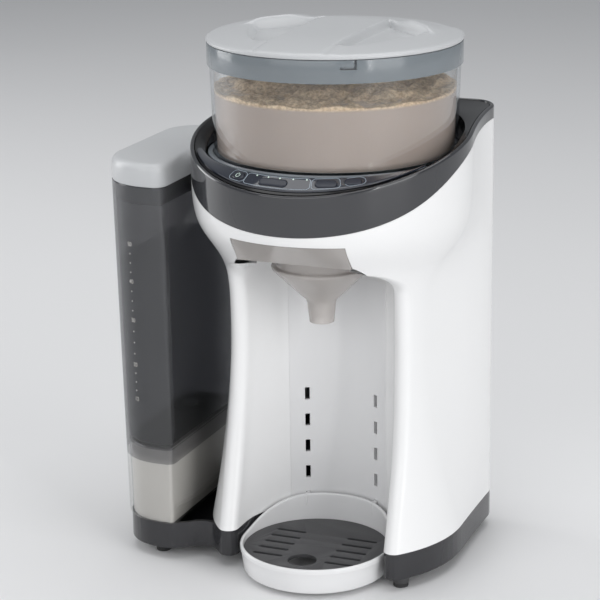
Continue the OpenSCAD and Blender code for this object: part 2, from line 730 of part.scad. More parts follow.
// Two rails on the bay's ceiling, which the funnel's flange slides between
rail_w = 4;
rail_front = -60;
rail_back = 4;
module funnel_rails() placed() color([0.78, 0.79, 0.8]) for (s = [-1, 1])
    mirror([s < 0 ? 1 : 0, 0, 0]) translate([flange_half_w + face_gap, rail_front, flange_z]) {
        cube([rail_w, rail_back - rail_front, flange_t + 2.5]);
        translate([-3, 0, flange_t + 0.5]) cube([3 + rail_w, rail_back - rail_front, 2]);
    }

// ---------------------------------------------------------------- funnel
funnel_y = -34;
cone_top = bay_top - 10;
mouth_drop = flange_z - cone_top;
module funnel() placed() color([0.66, 0.64, 0.62, 0.75]) difference() {
    union() {
        translate([-flange_half_w, lip_y, flange_z])
            cube([2 * flange_half_w, 2 - lip_y, flange_t]);
        translate([0, funnel_y, cone_top - cone_h]) cylinder(r1 = spout_r, r2 = cone_r, h = cone_h);
        translate([0, funnel_y, cone_top]) cylinder(r = cone_r, h = mouth_drop + 0.01);
        translate([0, funnel_y, cone_top - cone_h - spout_h])
            cylinder(r1 = spout_tip_r, r2 = spout_r, h = spout_h);
        lip_plate();
    }
    translate([0, funnel_y, cone_top - cone_h + 0.01])
        cylinder(r1 = spout_r - funnel_wall, r2 = cone_r - funnel_wall, h = cone_h);
    translate([0, funnel_y, cone_top]) cylinder(r = cone_r - funnel_wall, h = mouth_drop + flange_t + 1);
    translate([0, funnel_y, cone_top - cone_h - spout_h - 0.01])
        cylinder(r1 = spout_tip_r - funnel_wall, r2 = spout_r - funnel_wall, h = spout_h + 0.03);
}
lip_t = 2.4;
module lip_plate() translate([-flange_half_w, 0, flange_z]) rotate([90, 0, 90])
    linear_extrude(2 * flange_half_w) polygon([[lip_y, 0], [lip_y - lip_run, lip_rise],
        [lip_y - lip_run + lip_t * 1.4, lip_rise], [lip_y + flange_t + 0.6, flange_t]]);

// ---------------------------------------------------------------- canister
wheel_z = seat_z + canister_floor_t + 0.4;
module canister_body() placed() color([0.85, 0.87, 0.88, 0.35]) difference() {
    translate([0, 0, seat_z]) cylinder(r1 = canister_foot_r, r2 = canister_rim_r, h = canister_h);
    translate([0, 0, seat_z + canister_floor_t])
        cylinder(r1 = canister_foot_r - canister_wall_t, r2 = canister_rim_r - canister_wall_t,
            h = canister_h);
    translate([0, 0, seat_z - 1]) cylinder(r = dog_r + 2, h = canister_floor_t + 2);
    translate([0, chute_y, seat_z - 1]) cylinder(r = chute_bore_r - 1, h = canister_floor_t + 2);
}

collar_z = lid_z - collar_h;
function canister_r(z) = canister_foot_r + (canister_rim_r - canister_foot_r) * (z - seat_z) / canister_h;
collar_t = 1;
module canister_collar() placed() color([0.55, 0.6, 0.65, 0.6]) difference() {
    translate([0, 0, collar_z]) cylinder(r = canister_rim_r + 0.05 + collar_t, h = collar_h);
    translate([0, 0, collar_z - 0.01])
        cylinder(r1 = canister_r(collar_z) + 0.05, r2 = canister_rim_r + 0.05, h = collar_h + 0.02);
    rotate(30) translate([-notch_w / 2, -100, lid_z - 6]) cube([notch_w, 30, 20]);
    rotate(30) translate([-notch_w / 2 - 9, -100, lid_z - 6]) cube([10, 30, 1.6]);
}
notch_w = 1.6;

hopper_in = wheel_r + 0.5;
hopper_top = wheel_z + wheel_t + 9;
module hopper_ring() placed() color([0.88, 0.88, 0.88]) {
    r_low = canister_foot_r - canister_wall_t - 0.3;
    rotate_extrude() polygon([[hopper_in, seat_z + canister_floor_t], [r_low, seat_z + canister_floor_t],
        [r_low, hopper_top], [hopper_in, wheel_z + wheel_t + 1.2]]);
    rotate(-90 - 20) rotate_extrude(angle = 40) translate([pocket_ring_r - pocket_r - 2, wheel_z + wheel_t + 0.4])
        square([hopper_in - pocket_ring_r + pocket_r + 2.5, 0.8]);
}

stud_r = 4;
stirrer_h = 20;
module dosing_wheel() placed() color([0.92, 0.92, 0.9]) difference() {
    union() {
        translate([0, 0, wheel_z]) cylinder(r = wheel_r, h = wheel_t);
        translate([0, 0, wheel_z]) cylinder(r = stud_r, h = wheel_t + stirrer_h + 7);
    }
    translate([0, 0, wheel_z - 1]) cylinder(r = dog_r + 0.4, h = dog_h - canister_floor_t + 1.6, $fn = 6);
    for (k = [0:pocket_count - 1]) rotate(360 * k / pocket_count)
        translate([0, -pocket_ring_r, wheel_z - 1]) cylinder(r = pocket_r, h = wheel_t + 2);
}
stirrer_z = wheel_z + wheel_t;
module stirrer() placed() color([0.9, 0.9, 0.88]) difference() {
    union() {
        translate([0, 0, stirrer_z]) cylinder(r = 10, h = stirrer_h);
        for (k = [0:2]) rotate(120 * k + 30) {
            translate([0, -2.5, stirrer_z + 10]) cube([wheel_r + 8, 5, 4]);
            translate([wheel_r - 20, -2, stirrer_z + 3]) cube([4, 4, 8]);
            translate([wheel_r + 4, -2.5, stirrer_z + 10]) cube([4, 5, 22]);
        }
    }
    translate([0, 0, stirrer_z - 1]) cylinder(r = stud_r + 0.03, h = stirrer_h + 2);
}
module hub_nut() placed() color([0.75, 0.76, 0.78]) difference() {
    translate([0, 0, stirrer_z + stirrer_h]) cylinder(r = 7.5, h = 5, $fn = 6);
    translate([0, 0, stirrer_z + stirrer_h - 1]) cylinder(r = stud_r + 0.03, h = 8);
}

// Lid: a shallow dome with two finger grips, worked out on rings
lid_rings = 9;
lid_steps = 40;
lid_rim_h = 3.2;
lid_dome_h = 3.8;
grip_h = lid_h - lid_rim_h - lid_dome_h;
grip_at = [36, 2];
grip_turn = 62;
grip_long = 26;
grip_wide = 9;
function grip(x, y) = let (u = abs(x) - grip_at[0], v = y - grip_at[1],
    a = u * cos(grip_turn) + v * sin(grip_turn), b = v * cos(grip_turn) - u * sin(grip_turn))
    grip_h * exp(-pow(a / grip_long, 2) * 2.2 - pow(b / grip_wide, 2) * 1.6);
function lid_height(x, y) = let (r = norm([x, y]) / lid_r)
    lid_z + lid_rim_h + lid_dome_h * (1 - pow(r, 4)) + grip(x, y) * (1 - pow(r, 6));
module canister_lid() placed() color([0.78, 0.79, 0.8]) {
    rings = [for (k = [1:lid_rings]) [for (i = [0:lid_steps - 1])
        let (a = 360 * i / lid_steps, r = lid_r * pow(k / lid_rings, 0.8), x = r * cos(a), y = r * sin(a))
        [x, y, lid_height(x, y)]]];
    n = lid_steps;
    bottom = [for (p = rings[lid_rings - 1]) [p[0], p[1], lid_z + face_gap]];
    m = lid_rings;
    moulded() difference() {
        polyhedron(points = concat([[0, 0, lid_height(0, 0)]], [for (g = rings) each g], bottom),
            faces = concat([for (i = [0:n - 1]) [0, 1 + (i + 1) % n, 1 + i]],
                [for (k = [0:m - 1], i = [0:n - 1]) let (j = (i + 1) % n)
                    [1 + k * n + i, 1 + k * n + j, 1 + (k + 1) * n + j, 1 + (k + 1) * n + i]],
                [[for (i = [0:n - 1]) 1 + m * n + i]]));
        translate([0, 0, lid_z - 1]) cylinder(r = plug_r - 2, h = 3);
    }
    translate([0, 0, lid_z - plug_h]) difference() {
        cylinder(r = plug_r, h = plug_h + face_gap);
        translate([0, 0, -1]) cylinder(r = plug_r - 2, h = plug_h + 3);
    }
}
plug_h = 7;
plug_r = canister_rim_r - canister_wall_t - 1.6;
module lid_seal() placed() color([0.8, 0.82, 0.84]) translate([0, 0, lid_z - plug_h + 1]) difference() {
    cylinder(r = canister_r(lid_z - plug_h) - canister_wall_t - 0.3, h = 3);
    translate([0, 0, -1]) cylinder(r = plug_r + 0.02, h = 5);
}

// ---------------------------------------------------------------- drip tray
tray_foot_r = tray_r - 2.5;
module tray_top_cut() translate([-100, 0, 0]) rotate([90, 0, 90]) linear_extrude(200)
    polygon([[tray_y - 60, tray_front_z], [tray_y, tray_front_z + 1.5], [tray_y + 18, tray_front_z + 5],
        [tray_y + 34, tray_back_z - 4], [tray_y + 44, tray_back_z], [tray_y + 60, tray_back_z],
        [tray_y + 60, 100], [tray_y - 60, 100]]);
hook_gap = 0.3;
module drip_tray() placed() color([0.9, 0.9, 0.9]) {
    difference() {
        translate([0, tray_y, tray_z]) rotate_extrude($fn = 96) polygon([[0, 0], [tray_foot_r - 2, 0],
            [tray_foot_r, 2], [tray_r, tray_front_z - tray_z], [tray_r, tray_back_z - tray_z],
            [tray_r - tray_wall, tray_back_z - tray_z], [tray_r - tray_wall, ledge_z - tray_z],
            [tray_r - tray_wall - 3, ledge_z - tray_z], [tray_foot_r - tray_wall - 2.5, 2.6], [0, 2.6]]);
        tray_top_cut();
    }
    for (s = [-1, 1]) translate([s * slot_x - slot_w / 2 + hook_gap, tray_hook_y, slot_low_z + hook_gap])
        cube([slot_w - 2 * hook_gap, hook_reach - tray_hook_y, slot_h - 2 * hook_gap]);
}
tray_hook_y = tray_y + sqrt(pow(tray_r, 2) - pow(slot_x + slot_w / 2, 2)) - 1;
hook_reach = bay_centre_y + bay_half_w - 1;
ledge_z = grille_z - grille_t;
grille_r = tray_r - tray_wall - 0.4;

drain_r = 10;
drain_at = [0, -26];
slot_half = 1.6;
module grille_slot(x, y, length) translate([x - length / 2, y]) {
    circle(slot_half, $fn = 24);
    translate([0, -slot_half]) square([length, 2 * slot_half]);
    translate([length, 0]) circle(slot_half, $fn = 24);
}
grille_rows = [-24, -13, -2, 9, 20];
slot_inner = 17;
slot_outer = 36;
module drip_grille() placed() color([0.2, 0.2, 0.21]) translate([0, tray_y, ledge_z])
    linear_extrude(grille_t) difference() {
        circle(grille_r, $fn = 96);
        for (y = grille_rows, s = [-1, 1]) let (end = min(slot_outer, sqrt(pow(grille_r - 7, 2) - y * y)))
            grille_slot(s * (slot_inner + end) / 2, y, end - slot_inner);
        grille_slot(0, -43, 17);
        translate(drain_at) circle(drain_r);
    }

// ---------------------------------------------------------------- water tank
tank_corners = [38, 9, 9, 26];
tank_corner_steps = 7;
// Outline of the tank at height z, shrunk by inset: front left, front right, back right, back left
function tank_inset(z) = tank_taper * min(1, max(0, (tank_rim_z - z) / tank_h));
function tank_outline(z, inset) =
    let (t = tank_inset(z) + inset, x0 = tank_left + t, x1 = tank_right - inset, y0 = tank_front + t,
         y1 = tank_back - t, c = [for (r = tank_corners) max(r - t, 0.4)])
    concat(arc(x0 + c[0], y0 + c[0], c[0], 180, 270, tank_corner_steps),
        arc(x1 - c[1], y0 + c[1], c[1], 270, 360, tank_corner_steps),
        arc(x1 - c[2], y1 - c[2], c[2], 0, 90, tank_corner_steps),
        arc(x0 + c[3], y1 - c[3], c[3], 90, 180, tank_corner_steps));
// The same outline in the flat, made of true arcs, at the foot of the tank
module tank_foot_plan(shrink) {
    x0 = tank_left + shrink;
    x1 = tank_right - shrink + tank_taper;
    y0 = tank_front + shrink;
    y1 = tank_back - shrink;
    c = [for (r = tank_corners) max(1, r - shrink)];
    difference() {
        translate([x0, y0]) square([x1 - x0, y1 - y0]);
        translate([x0, y0]) square([c[0], c[0]]);
        translate([x1 - c[1], y0]) square([c[1], c[1]]);
        translate([x1 - c[2], y1 - c[2]]) square([c[2], c[2]]);
        translate([x0, y1 - c[3]]) square([c[3], c[3]]);
    }
    translate([x0 + c[0], y0 + c[0]]) circle(c[0]);
    translate([x1 - c[1], y0 + c[1]]) circle(c[1]);
    translate([x1 - c[2], y1 - c[2]]) circle(c[2]);
    translate([x0 + c[3], y1 - c[3]]) circle(c[3]);
}

tank_x = (tank_left + tank_right) / 2;
valve_y = 20;
valve_hole_r = 9;
tank_floor_t = 2.5;
module tank_body() placed() color([0.75, 0.8, 0.82, 0.35]) difference() {
    moulded() difference() {
        loft([for (z = [base_top + face_gap, tank_rim_z]) raise(tank_outline(z, 0), z)]);
        loft([for (z = [tank_floor_z + tank_floor_t, tank_rim_z + 1]) raise(tank_outline(z, tank_wall), z)]);
        loft([for (z = [base_top - 1, tank_floor_z]) raise(tank_outline(z, tank_wall), z)]);
    }
    translate([tank_x, valve_y, tank_floor_z - 1]) cylinder(r = valve_hole_r, h = 10);
}
skirt_gap = 0.4;
module tank_lid() placed() color([0.75, 0.76, 0.77]) {
    top = tank_rim_z + tank_lid_h;
    moulded() difference() {
        union() {
            loft([for (q = [[0, 0], [0.75, 0], [0.93, 1.6], [1, 4.5]])
                let (z = tank_rim_z + tank_lid_h * q[0]) raise(tank_outline(tank_rim_z, q[1]), z)]);
            loft([for (z = [tank_rim_z - tank_skirt_h, tank_rim_z + 0.01])
                raise(tank_outline(tank_rim_z - tank_skirt_h, tank_wall + skirt_gap), z)]);
        }
        loft([for (z = [tank_rim_z - tank_skirt_h - 1, top - 3])
            raise(tank_outline(tank_rim_z - tank_skirt_h, tank_wall + skirt_gap + 2), z)]);
    }
}
valve_bore_r = 4;
module valve_seat() placed() color([0.3, 0.3, 0.32]) translate([tank_x, valve_y, 0]) difference() {
    union() {
        translate([0, 0, tank_floor_z - 4]) cylinder(r = valve_hole_r - 0.02, h = tank_floor_t + 4);
        translate([0, 0, tank_floor_z + tank_floor_t]) cylinder(r = valve_hole_r + 3, h = 1.5);
    }
    translate([0, 0, tank_floor_z - 6]) cylinder(r = valve_bore_r, h = 20);
}
plunger_r = 2;
module valve_plunger() placed() color([0.85, 0.85, 0.86]) translate([tank_x, valve_y, 0]) {
    translate([0, 0, tank_floor_z - 3.5]) cylinder(r = plunger_r, h = tank_floor_t + 5.3);
    translate([0, 0, tank_floor_z + tank_floor_t + 1.8]) cylinder(r = valve_bore_r + 2, h = 2);
}
// The pedestal is as wide as the tank's foot all the way up, so that the tank lifts off it freely
pedestal_inset = tank_wall + 0.6;
module tank_pedestal() placed() color([0.72, 0.71, 0.69]) difference() {
    moulded() difference() {
        loft([for (z = [base_top, tank_floor_z]) raise(tank_outline(base_top, pedestal_inset), z)]);
        loft([for (z = [base_top - 1, tank_floor_z - 3]) raise(tank_outline(base_top, pedestal_inset + 2.4), z)]);
    }
    translate([tank_x, valve_y, tank_floor_z - 10]) cylinder(r = valve_hole_r + 1, h = 20);
}
module pedestal_pin() placed() color([0.6, 0.6, 0.62]) translate([tank_x, valve_y, 0]) difference() {
    union() {
        translate([0, 0, tank_floor_z - 14]) cylinder(r = valve_hole_r + 5, h = 11);
        translate([0, 0, tank_floor_z - 5]) cylinder(r = 1.5, h = 1.2);
    }
    for (a = [0:60:300]) rotate(a) translate([5, 0, tank_floor_z - 15]) cylinder(r = 1.2, h = 20, $fn = 24);
    translate([0, 0, tank_floor_z - 4.6]) difference() {
        cylinder(r = valve_hole_r + 1, h = 4);
        translate([0, 0, -1]) cylinder(r = 1.5, h = 1.8);
    }
}

// ---------------------------------------------------------------- inside the housing
floor_z = foot_h + base_floor_t;
pump_at = [-48, 50, 52];
pump_r = 17;
pump_l = 46;
module water_pump() placed() color([0.35, 0.36, 0.4]) translate(pump_at) rotate([0, 90, 0]) {
    translate([0, 0, -pump_l / 2]) cylinder(r = pump_r, h = pump_l * 0.6);
    translate([0, 0, pump_l * 0.1]) cylinder(r = pump_r - 3, h = pump_l * 0.4);
}
module pump_cradle() placed() color([0.5, 0.5, 0.52]) difference() {
    translate([pump_at[0] - 16, pump_at[1] - 15, floor_z]) cube([26, 30, pump_at[2] - floor_z - 4]);
    translate(pump_at) rotate([0, 90, 0]) cylinder(r = pump_r + 0.1, h = 80, center = true);
}
heater_at = [10, 56];
heater_r = 20;
heater_z = base_top + 45;
module heater() placed() color([0.78, 0.79, 0.8]) translate([heater_at[0], heater_at[1], 0]) {
    translate([0, 0, heater_z]) cylinder(r = heater_r, h = 70);
    translate([0, 0, heater_z + 70]) cylinder(r = heater_r - 6, h = 6);
}
module heater_stand() placed() color([0.5, 0.5, 0.52]) translate([heater_at[0], heater_at[1], 0])
    difference() {
        translate([0, 0, floor_z]) cylinder(r = heater_r - 1, h = heater_z - floor_z);
        translate([0, 0, floor_z - 1]) cylinder(r = heater_r - 4, h = heater_z - floor_z - 3);
    }
module main_board() placed() color([0.1, 0.35, 0.2]) {
    translate([58, 18, floor_z]) cube([1.6, 60, 130]);
    translate([50, 30, floor_z + 50]) cube([8, 24, 30]);
    translate([44, 56, floor_z + 20]) cube([14, 16, 22]);
}
tube_r = 3;
module water_tube() placed() color([0.85, 0.85, 0.85]) translate([heater_at[0], heater_at[1], 0]) {
    translate([0, 0, heater_z + 76]) cylinder(r = tube_r, h = 40);
}

base_pan();
feet();
foot_pads();
housing_shell();
bay_back_panel();
rear_cover();
cover_screws();
power_inlet();
top_ring();
top_deck();
control_panel();
power_key();
volume_key();
start_key();
info_key();
panel_board();
canister_seat();
shaft_bush();
drive_shaft();
drive_gear();
motor_pinion();
gearmotor();
motor_bracket();
powder_chute();
water_nozzle();
funnel_rails();
funnel();
canister_body();
canister_collar();
hopper_ring();
dosing_wheel();
stirrer();
hub_nut();
canister_lid();
lid_seal();
drip_tray();
drip_grille();
tank_body();
tank_lid();
valve_seat();
valve_plunger();
tank_pedestal();
pedestal_pin();
water_pump();
pump_cradle();
heater();
heater_stand();
main_board();
water_tube();
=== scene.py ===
# %% [markdown]
# A counter-top baby formula maker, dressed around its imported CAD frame. The frame
# brings every rigid node in its place. This file gives the curved mouldings a
# finer surface, adds the contents and the printed marks, and gives each piece a
# finish made of shader nodes.

# %% Load the frame
import math

import bmesh
import bpy
import numpy as np
from mathutils import Matrix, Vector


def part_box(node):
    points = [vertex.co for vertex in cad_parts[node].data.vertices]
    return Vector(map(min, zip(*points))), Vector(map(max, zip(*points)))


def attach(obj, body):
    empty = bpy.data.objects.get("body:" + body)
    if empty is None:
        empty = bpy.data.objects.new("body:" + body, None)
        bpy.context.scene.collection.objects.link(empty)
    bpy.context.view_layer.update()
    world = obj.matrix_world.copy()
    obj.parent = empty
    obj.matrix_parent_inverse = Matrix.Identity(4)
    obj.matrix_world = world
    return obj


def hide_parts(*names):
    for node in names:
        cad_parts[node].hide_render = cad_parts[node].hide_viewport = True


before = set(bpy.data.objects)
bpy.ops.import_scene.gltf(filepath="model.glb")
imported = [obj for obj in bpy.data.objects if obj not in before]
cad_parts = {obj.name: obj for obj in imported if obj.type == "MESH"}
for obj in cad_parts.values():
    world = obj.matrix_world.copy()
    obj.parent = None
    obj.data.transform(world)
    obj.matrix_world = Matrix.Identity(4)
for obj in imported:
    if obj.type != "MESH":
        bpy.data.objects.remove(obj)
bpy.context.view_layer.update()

# %% [markdown]
# The machine was drawn round the upright axis of its round powder canister, in
# millimetres, with the front towards -Y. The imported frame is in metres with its
# origin under the middle of the whole box. So every shape below is worked out
# in millimetres about the canister's axis, and one helper carries it over.

# %% Places read from the frame
MM = 0.001


def box_mm(node):
    """Lowest and highest corner of a node in millimetres about the canister's axis."""
    low, high = (np.array(corner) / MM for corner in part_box(node))
    return low - AXIS, high - AXIS


canister_low, canister_high = (np.array(corner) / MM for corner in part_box("canister_body"))
AXIS = np.array([*((canister_low + canister_high) / 2)[:2], 0.0])
base_top = box_mm("base_pan")[1][2]
seat_z = box_mm("canister_body")[0][2]
lid_z = box_mm("canister_body")[1][2]
flange_z = box_mm("funnel_rails")[0][2]
back_y = box_mm("rear_cover")[1][1]
print("axis", AXIS.round(2), "base top", round(base_top, 2), "seat", round(seat_z, 2))

# %% [markdown]
# The camera has a long lens. It stands a metre and a half off, a little above
# the machine and round to its right, with a slight roll. Its place was worked
# out from the machine's own upright and level lines.

# %% Camera
AZIMUTH, ELEVATION, ROLL = (math.radians(a) for a in (22.356, 16.342, 0.84))
CAMERA_MM = np.array([519.9, -1331.7, 602.1])
FOCAL_SHARE = 2163.03 / 600

forward = np.array([-math.sin(AZIMUTH) * math.cos(ELEVATION),
                    math.cos(AZIMUTH) * math.cos(ELEVATION), -math.sin(ELEVATION)])
level = np.array([math.cos(AZIMUTH), math.sin(AZIMUTH), 0.0])
upright = np.cross(level, forward)
right = level * math.cos(ROLL) - upright * math.sin(ROLL)
up = upright * math.cos(ROLL) + level * math.sin(ROLL)

camera_data = bpy.data.cameras.new("camera")
camera_data.sensor_width = 36
camera_data.lens = 36 * FOCAL_SHARE
camera_data.clip_end = 20
camera = bpy.data.objects.new("camera", camera_data)
bpy.context.collection.objects.link(camera)
matrix = np.eye(4)
matrix[:3, 0], matrix[:3, 1], matrix[:3, 2] = right, up, -forward
matrix[:3, 3] = (CAMERA_MM + AXIS) * MM
camera.matrix_world = Matrix(matrix.tolist())
bpy.context.scene.camera = camera
print("camera at", (matrix[:3, 3]).round(3), "lens", round(camera_data.lens, 1))

# %% [markdown]
# Shader maths reads best as plain expressions, such as 1 - mask * 0.3. A node
# socket can't do that by itself, so a small class wraps it: each operator adds
# the Math node that it stands for. Every other node comes from one method.

# %% Shader values and finishes


class Value:
    """A number that varies over a surface. Operators on it add Math nodes."""

    def __init__(self, finish, socket):
        self.finish, self.socket = finish, socket

    def _math(self, operation, *operands):
        return self.finish.add("Math", {"operation": operation}, *operands)

    def __add__(self, other):
        return self._math("ADD", self, other)

    def __rsub__(self, other):
        return self._math("SUBTRACT", other, self)

    def __mul__(self, other):
        return self._math("MULTIPLY", self, other)

    def __pow__(self, other):
        return self._math("POWER", self, other)

    __radd__ = __add__

    def above(self, edge, soft):
        """0 below edge and 1 above it, with a soft step."""
        return self.finish.add("MapRange", {"interpolation_type": "SMOOTHSTEP"},
                               self, edge - soft, edge + soft, 0.0, 1.0)


class Finish:
    """One material: a Principled surface, with its plain values set on its sockets."""

    def __init__(self, name, **sockets):
        self.material = bpy.data.materials.new(name)
        self.material.use_nodes = True
        self.tree = self.material.node_tree
        self.surface = next(n for n in self.tree.nodes if n.type == "BSDF_PRINCIPLED")
        for key, value in sockets.items():
            self.set(key.replace("_", " ").title(), value)

    def set(self, socket, value):
        """Puts a plain value, or a link, on one of the surface's sockets."""
        socket = {"Ior": "IOR"}.get(socket, socket)
        target = self.surface.inputs[socket]
        if isinstance(value, Value):
            self.tree.links.new(value.socket, target)
        elif isinstance(value, tuple) and len(value) == 3 and target.type == "RGBA":
            target.default_value = (*value, 1)
        else:
            target.default_value = value
        return self

    def add(self, kind, settings=None, *inputs, output=0, **named):
        """Any node: its settings first, then its sockets by order or by name."""
        node = self.tree.nodes.new("ShaderNode" + kind)
        for key, value in (settings or {}).items():
            if key == "stops":
                ramp = node.color_ramp.elements
                while len(ramp) < len(value):
                    ramp.new(0.5)
                for stop, (place, colour) in zip(ramp, value):
                    stop.position, stop.color = place, (*colour, 1)
            else:
                setattr(node, key, value)
        pairs = list(enumerate(inputs)) + [(k.replace("_", " ").title(), v) for k, v in named.items()]
        for key, value in pairs:
            if value is None:
                continue
            if isinstance(value, Value):
                self.tree.links.new(value.socket, node.inputs[key])
            else:
                node.inputs[key].default_value = value
        return Value(self, node.outputs[output])

    def place(self, scale=(1, 1, 1)):
        """Object coordinates, in metres about the frame's origin, stretched by scale."""
        found = self.add("TexCoord", output="Object")
        return self.add("Mapping", None, Vector=found, Scale=scale)

    def noise(self, scale, detail=2.0, stretch=(1, 1, 1), roughness=0.5):
        return self.add("TexNoise", None, Vector=self.place(stretch), Scale=scale,
                        Detail=detail, Roughness=roughness)

    def tint(self, amount, low, high):
        """A colour between low and high, by a number from 0 to 1."""
        return self.add("ValToRGB", {"stops": [(0.0, low), (1.0, high)]}, amount)

    def bump(self, height, depth_mm):
        return self.set("Normal", self.add("Bump", None, Height=height, Strength=1.0, Distance=depth_mm * MM))


def moulded(name, colour, roughness, spread=0.03, grain=0.0, grain_size=900, **sockets):
    """Moulded plastic: a slow drift of colour, patchy gloss, and a fine skin."""
    finish = Finish(name, **sockets)
    drift = finish.noise(14, 3)
    low = tuple(c * (1 - spread) for c in colour)
    high = tuple(min(1, c * (1 + spread)) for c in colour)
    finish.set("Base Color", finish.tint(drift, low, high))
    patches = finish.noise(60, 4)
    finish.set("Roughness", roughness * 0.85 + patches * roughness * 0.3)
    if grain:
        finish.bump(finish.noise(grain_size, 2), grain)
    return finish


# %% [markdown]
# Two kinds of finish cover most of the machine. Glossy moulded plastic gets a
# little orange peel, which breaks up its reflections as a real mould does, and
# satin parts get a fine spark-eroded grain instead.

# %% Opaque finishes
finishes = {
    "white": moulded("white_plastic", (0.83, 0.83, 0.83), 0.2, 0.01, 0.008, 160),
    "bay": moulded("bay_plastic", (0.76, 0.76, 0.765), 0.3, 0.006, 0.006, 200),
    "dark": moulded("charcoal_plastic", (0.028, 0.028, 0.031), 0.16, 0.08, 0.012, 160),
    "ring": moulded("ring_plastic", (0.03, 0.031, 0.035), 0.1, 0.06, 0.008, 150, Coat_Weight=0.6),
    "deck": moulded("deck_plastic", (0.006, 0.006, 0.007), 0.16, 0.1, 0.01, 200),
    "film": moulded("panel_film", (0.012, 0.016, 0.028), 0.06, 0.1, Coat_Weight=1.0, Coat_Roughness=0.03),
    "key": moulded("key_plastic", (0.02, 0.024, 0.036), 0.24, 0.1, 0.03, 1500),
    "foot": moulded("foot_plastic", (0.05, 0.05, 0.052), 0.35, 0.1, 0.05, 900),
    "rubber": moulded("foot_rubber", (0.022, 0.022, 0.023), 0.7, 0.2, 0.1, 1400),
    "lid": moulded("lid_plastic", (0.52, 0.53, 0.54), 0.33, 0.01, 0.02, 1300),
    "tray": moulded("tray_plastic", (0.76, 0.76, 0.765), 0.22, 0.02, 0.02, 180),
    "grille": moulded("grille_plastic", (0.05, 0.05, 0.053), 0.42, 0.15, 0.08, 1100),
    "seat": moulded("seat_plastic", (0.2, 0.225, 0.25), 0.3, 0.05, 0.03, 900),
    "inner": moulded("inner_plastic", (0.72, 0.72, 0.7), 0.4, 0.03, 0.04, 900),
    "nylon": moulded("gear_nylon", (0.76, 0.73, 0.64), 0.45, 0.04, 0.05, 1400),
    "seal": moulded("silicone_seal", (0.52, 0.54, 0.56), 0.5, 0.05, 0.04, 900,
                    Subsurface_Weight=0.1, Subsurface_Radius=(0.003, 0.003, 0.003)),
    "pedestal": moulded("pedestal_plastic", (0.6, 0.58, 0.555), 0.35, 0.03, 0.03, 900),
    "pump": moulded("pump_plastic", (0.06, 0.065, 0.075), 0.45, 0.1, 0.06, 900),
    "inlet": moulded("inlet_plastic", (0.018, 0.018, 0.018), 0.4, 0.2, 0.06, 1300),
}
print("plastics:", len(finishes))

# %% [markdown]
# Metals are turned, drawn or plated, and each leaves its marks in one direction.
# Stretching the noise along the work's axis gives those marks.

# %% Metals, board and tube


def metal(name, colour, roughness, stretch):
    finish = Finish(name, Metallic=1.0)
    marks = finish.noise(300, 4, stretch)
    finish.set("Base Color", finish.tint(marks, tuple(c * 0.85 for c in colour), colour))
    finish.set("Roughness", roughness + marks * 0.15)
    return finish.bump(marks, 0.02)


finishes["steel"] = metal("turned_steel", (0.62, 0.62, 0.64), 0.22, (1, 1, 12))
finishes["sheet"] = metal("drawn_steel", (0.58, 0.59, 0.6), 0.3, (1, 12, 1))
finishes["brass"] = metal("turned_brass", (0.78, 0.6, 0.28), 0.25, (1, 1, 12))

board = Finish("board_laminate", Roughness=0.35)
tracks = board.add("TexBrick", {"offset": 0.5}, Vector=board.place(), Scale=160.0,
                   Mortar_Size=0.03, output="Fac")
board.set("Base Color", board.tint(tracks, (0.012, 0.11, 0.05), (0.05, 0.22, 0.1)))
finishes["board"] = board.bump(tracks, 0.03)

tube = Finish("silicone_tube", Roughness=0.3, Transmission_Weight=0.4, IOR=1.41)
tube.set("Base Color", tube.tint(tube.noise(80, 3), (0.7, 0.71, 0.72), (0.8, 0.81, 0.82)))
finishes["tube"] = tube

# %% [markdown]
# The canister, the tank and the water pass light straight on, so what stands
# behind them stays sharp. The tank's walls above its floor carry a light smoke
# and painted shade, and the water a grey painted shade, which darken it. The
# collar and the funnel are clouded: light scatters in them, and only their
# surface stays glossy.

# %% See-through finishes


def see_through(name, colour, roughness, clear):
    """Clouded plastic, which scatters what it lets through."""
    finish = Finish(name, Transmission_Weight=clear, IOR=1.46)
    haze = finish.noise(30, 3)
    finish.set("Base Color", finish.tint(haze, tuple(c * 0.97 for c in colour), colour))
    return finish.set("Roughness", roughness + haze * roughness * 0.5)


def thin_wall(name, tint, roughness, least, most, edge):
    """A thin clear wall, which light passes straight through, under a mirror.

    The mirror's share grows from least, seen head on, to most at the rim, where
    its colour falls to edge: a dark rim of painted shade, as a real wall shows there."""
    finish = Finish(name, Metallic=1.0)
    facing = finish.add("LayerWeight", None, 0.5, output="Facing")
    # Painted shade: the mirror's colour falls from near white head on to the edge colour at the rim.
    finish.set("Base Color", finish.tint(facing ** 6, (0.95, 0.96, 0.97), edge))
    finish.set("Roughness", roughness + finish.noise(30, 3) * roughness)
    through = finish.add("BsdfTransparent", None, (*tint, 1))
    mirror = Value(finish, finish.surface.outputs[0])
    mixed = finish.add("MixShader", None, facing ** 4 * (most - least) + least, through, mirror)
    finish.tree.links.new(mixed.socket, finish.tree.nodes["Material Output"].inputs["Surface"])
    return finish


# The last colour given to each clear wall below is the painted shade at its rim.
painted_rim_shade = (0.12, 0.12, 0.13)
finishes["clear"] = thin_wall("clear_canister", (0.95, 0.96, 0.97), 0.02, 0.04, 0.75, (0.03, 0.03, 0.03))
finishes["collar"] = see_through("collar_plastic", (0.3, 0.335, 0.36), 0.12, 0.4)
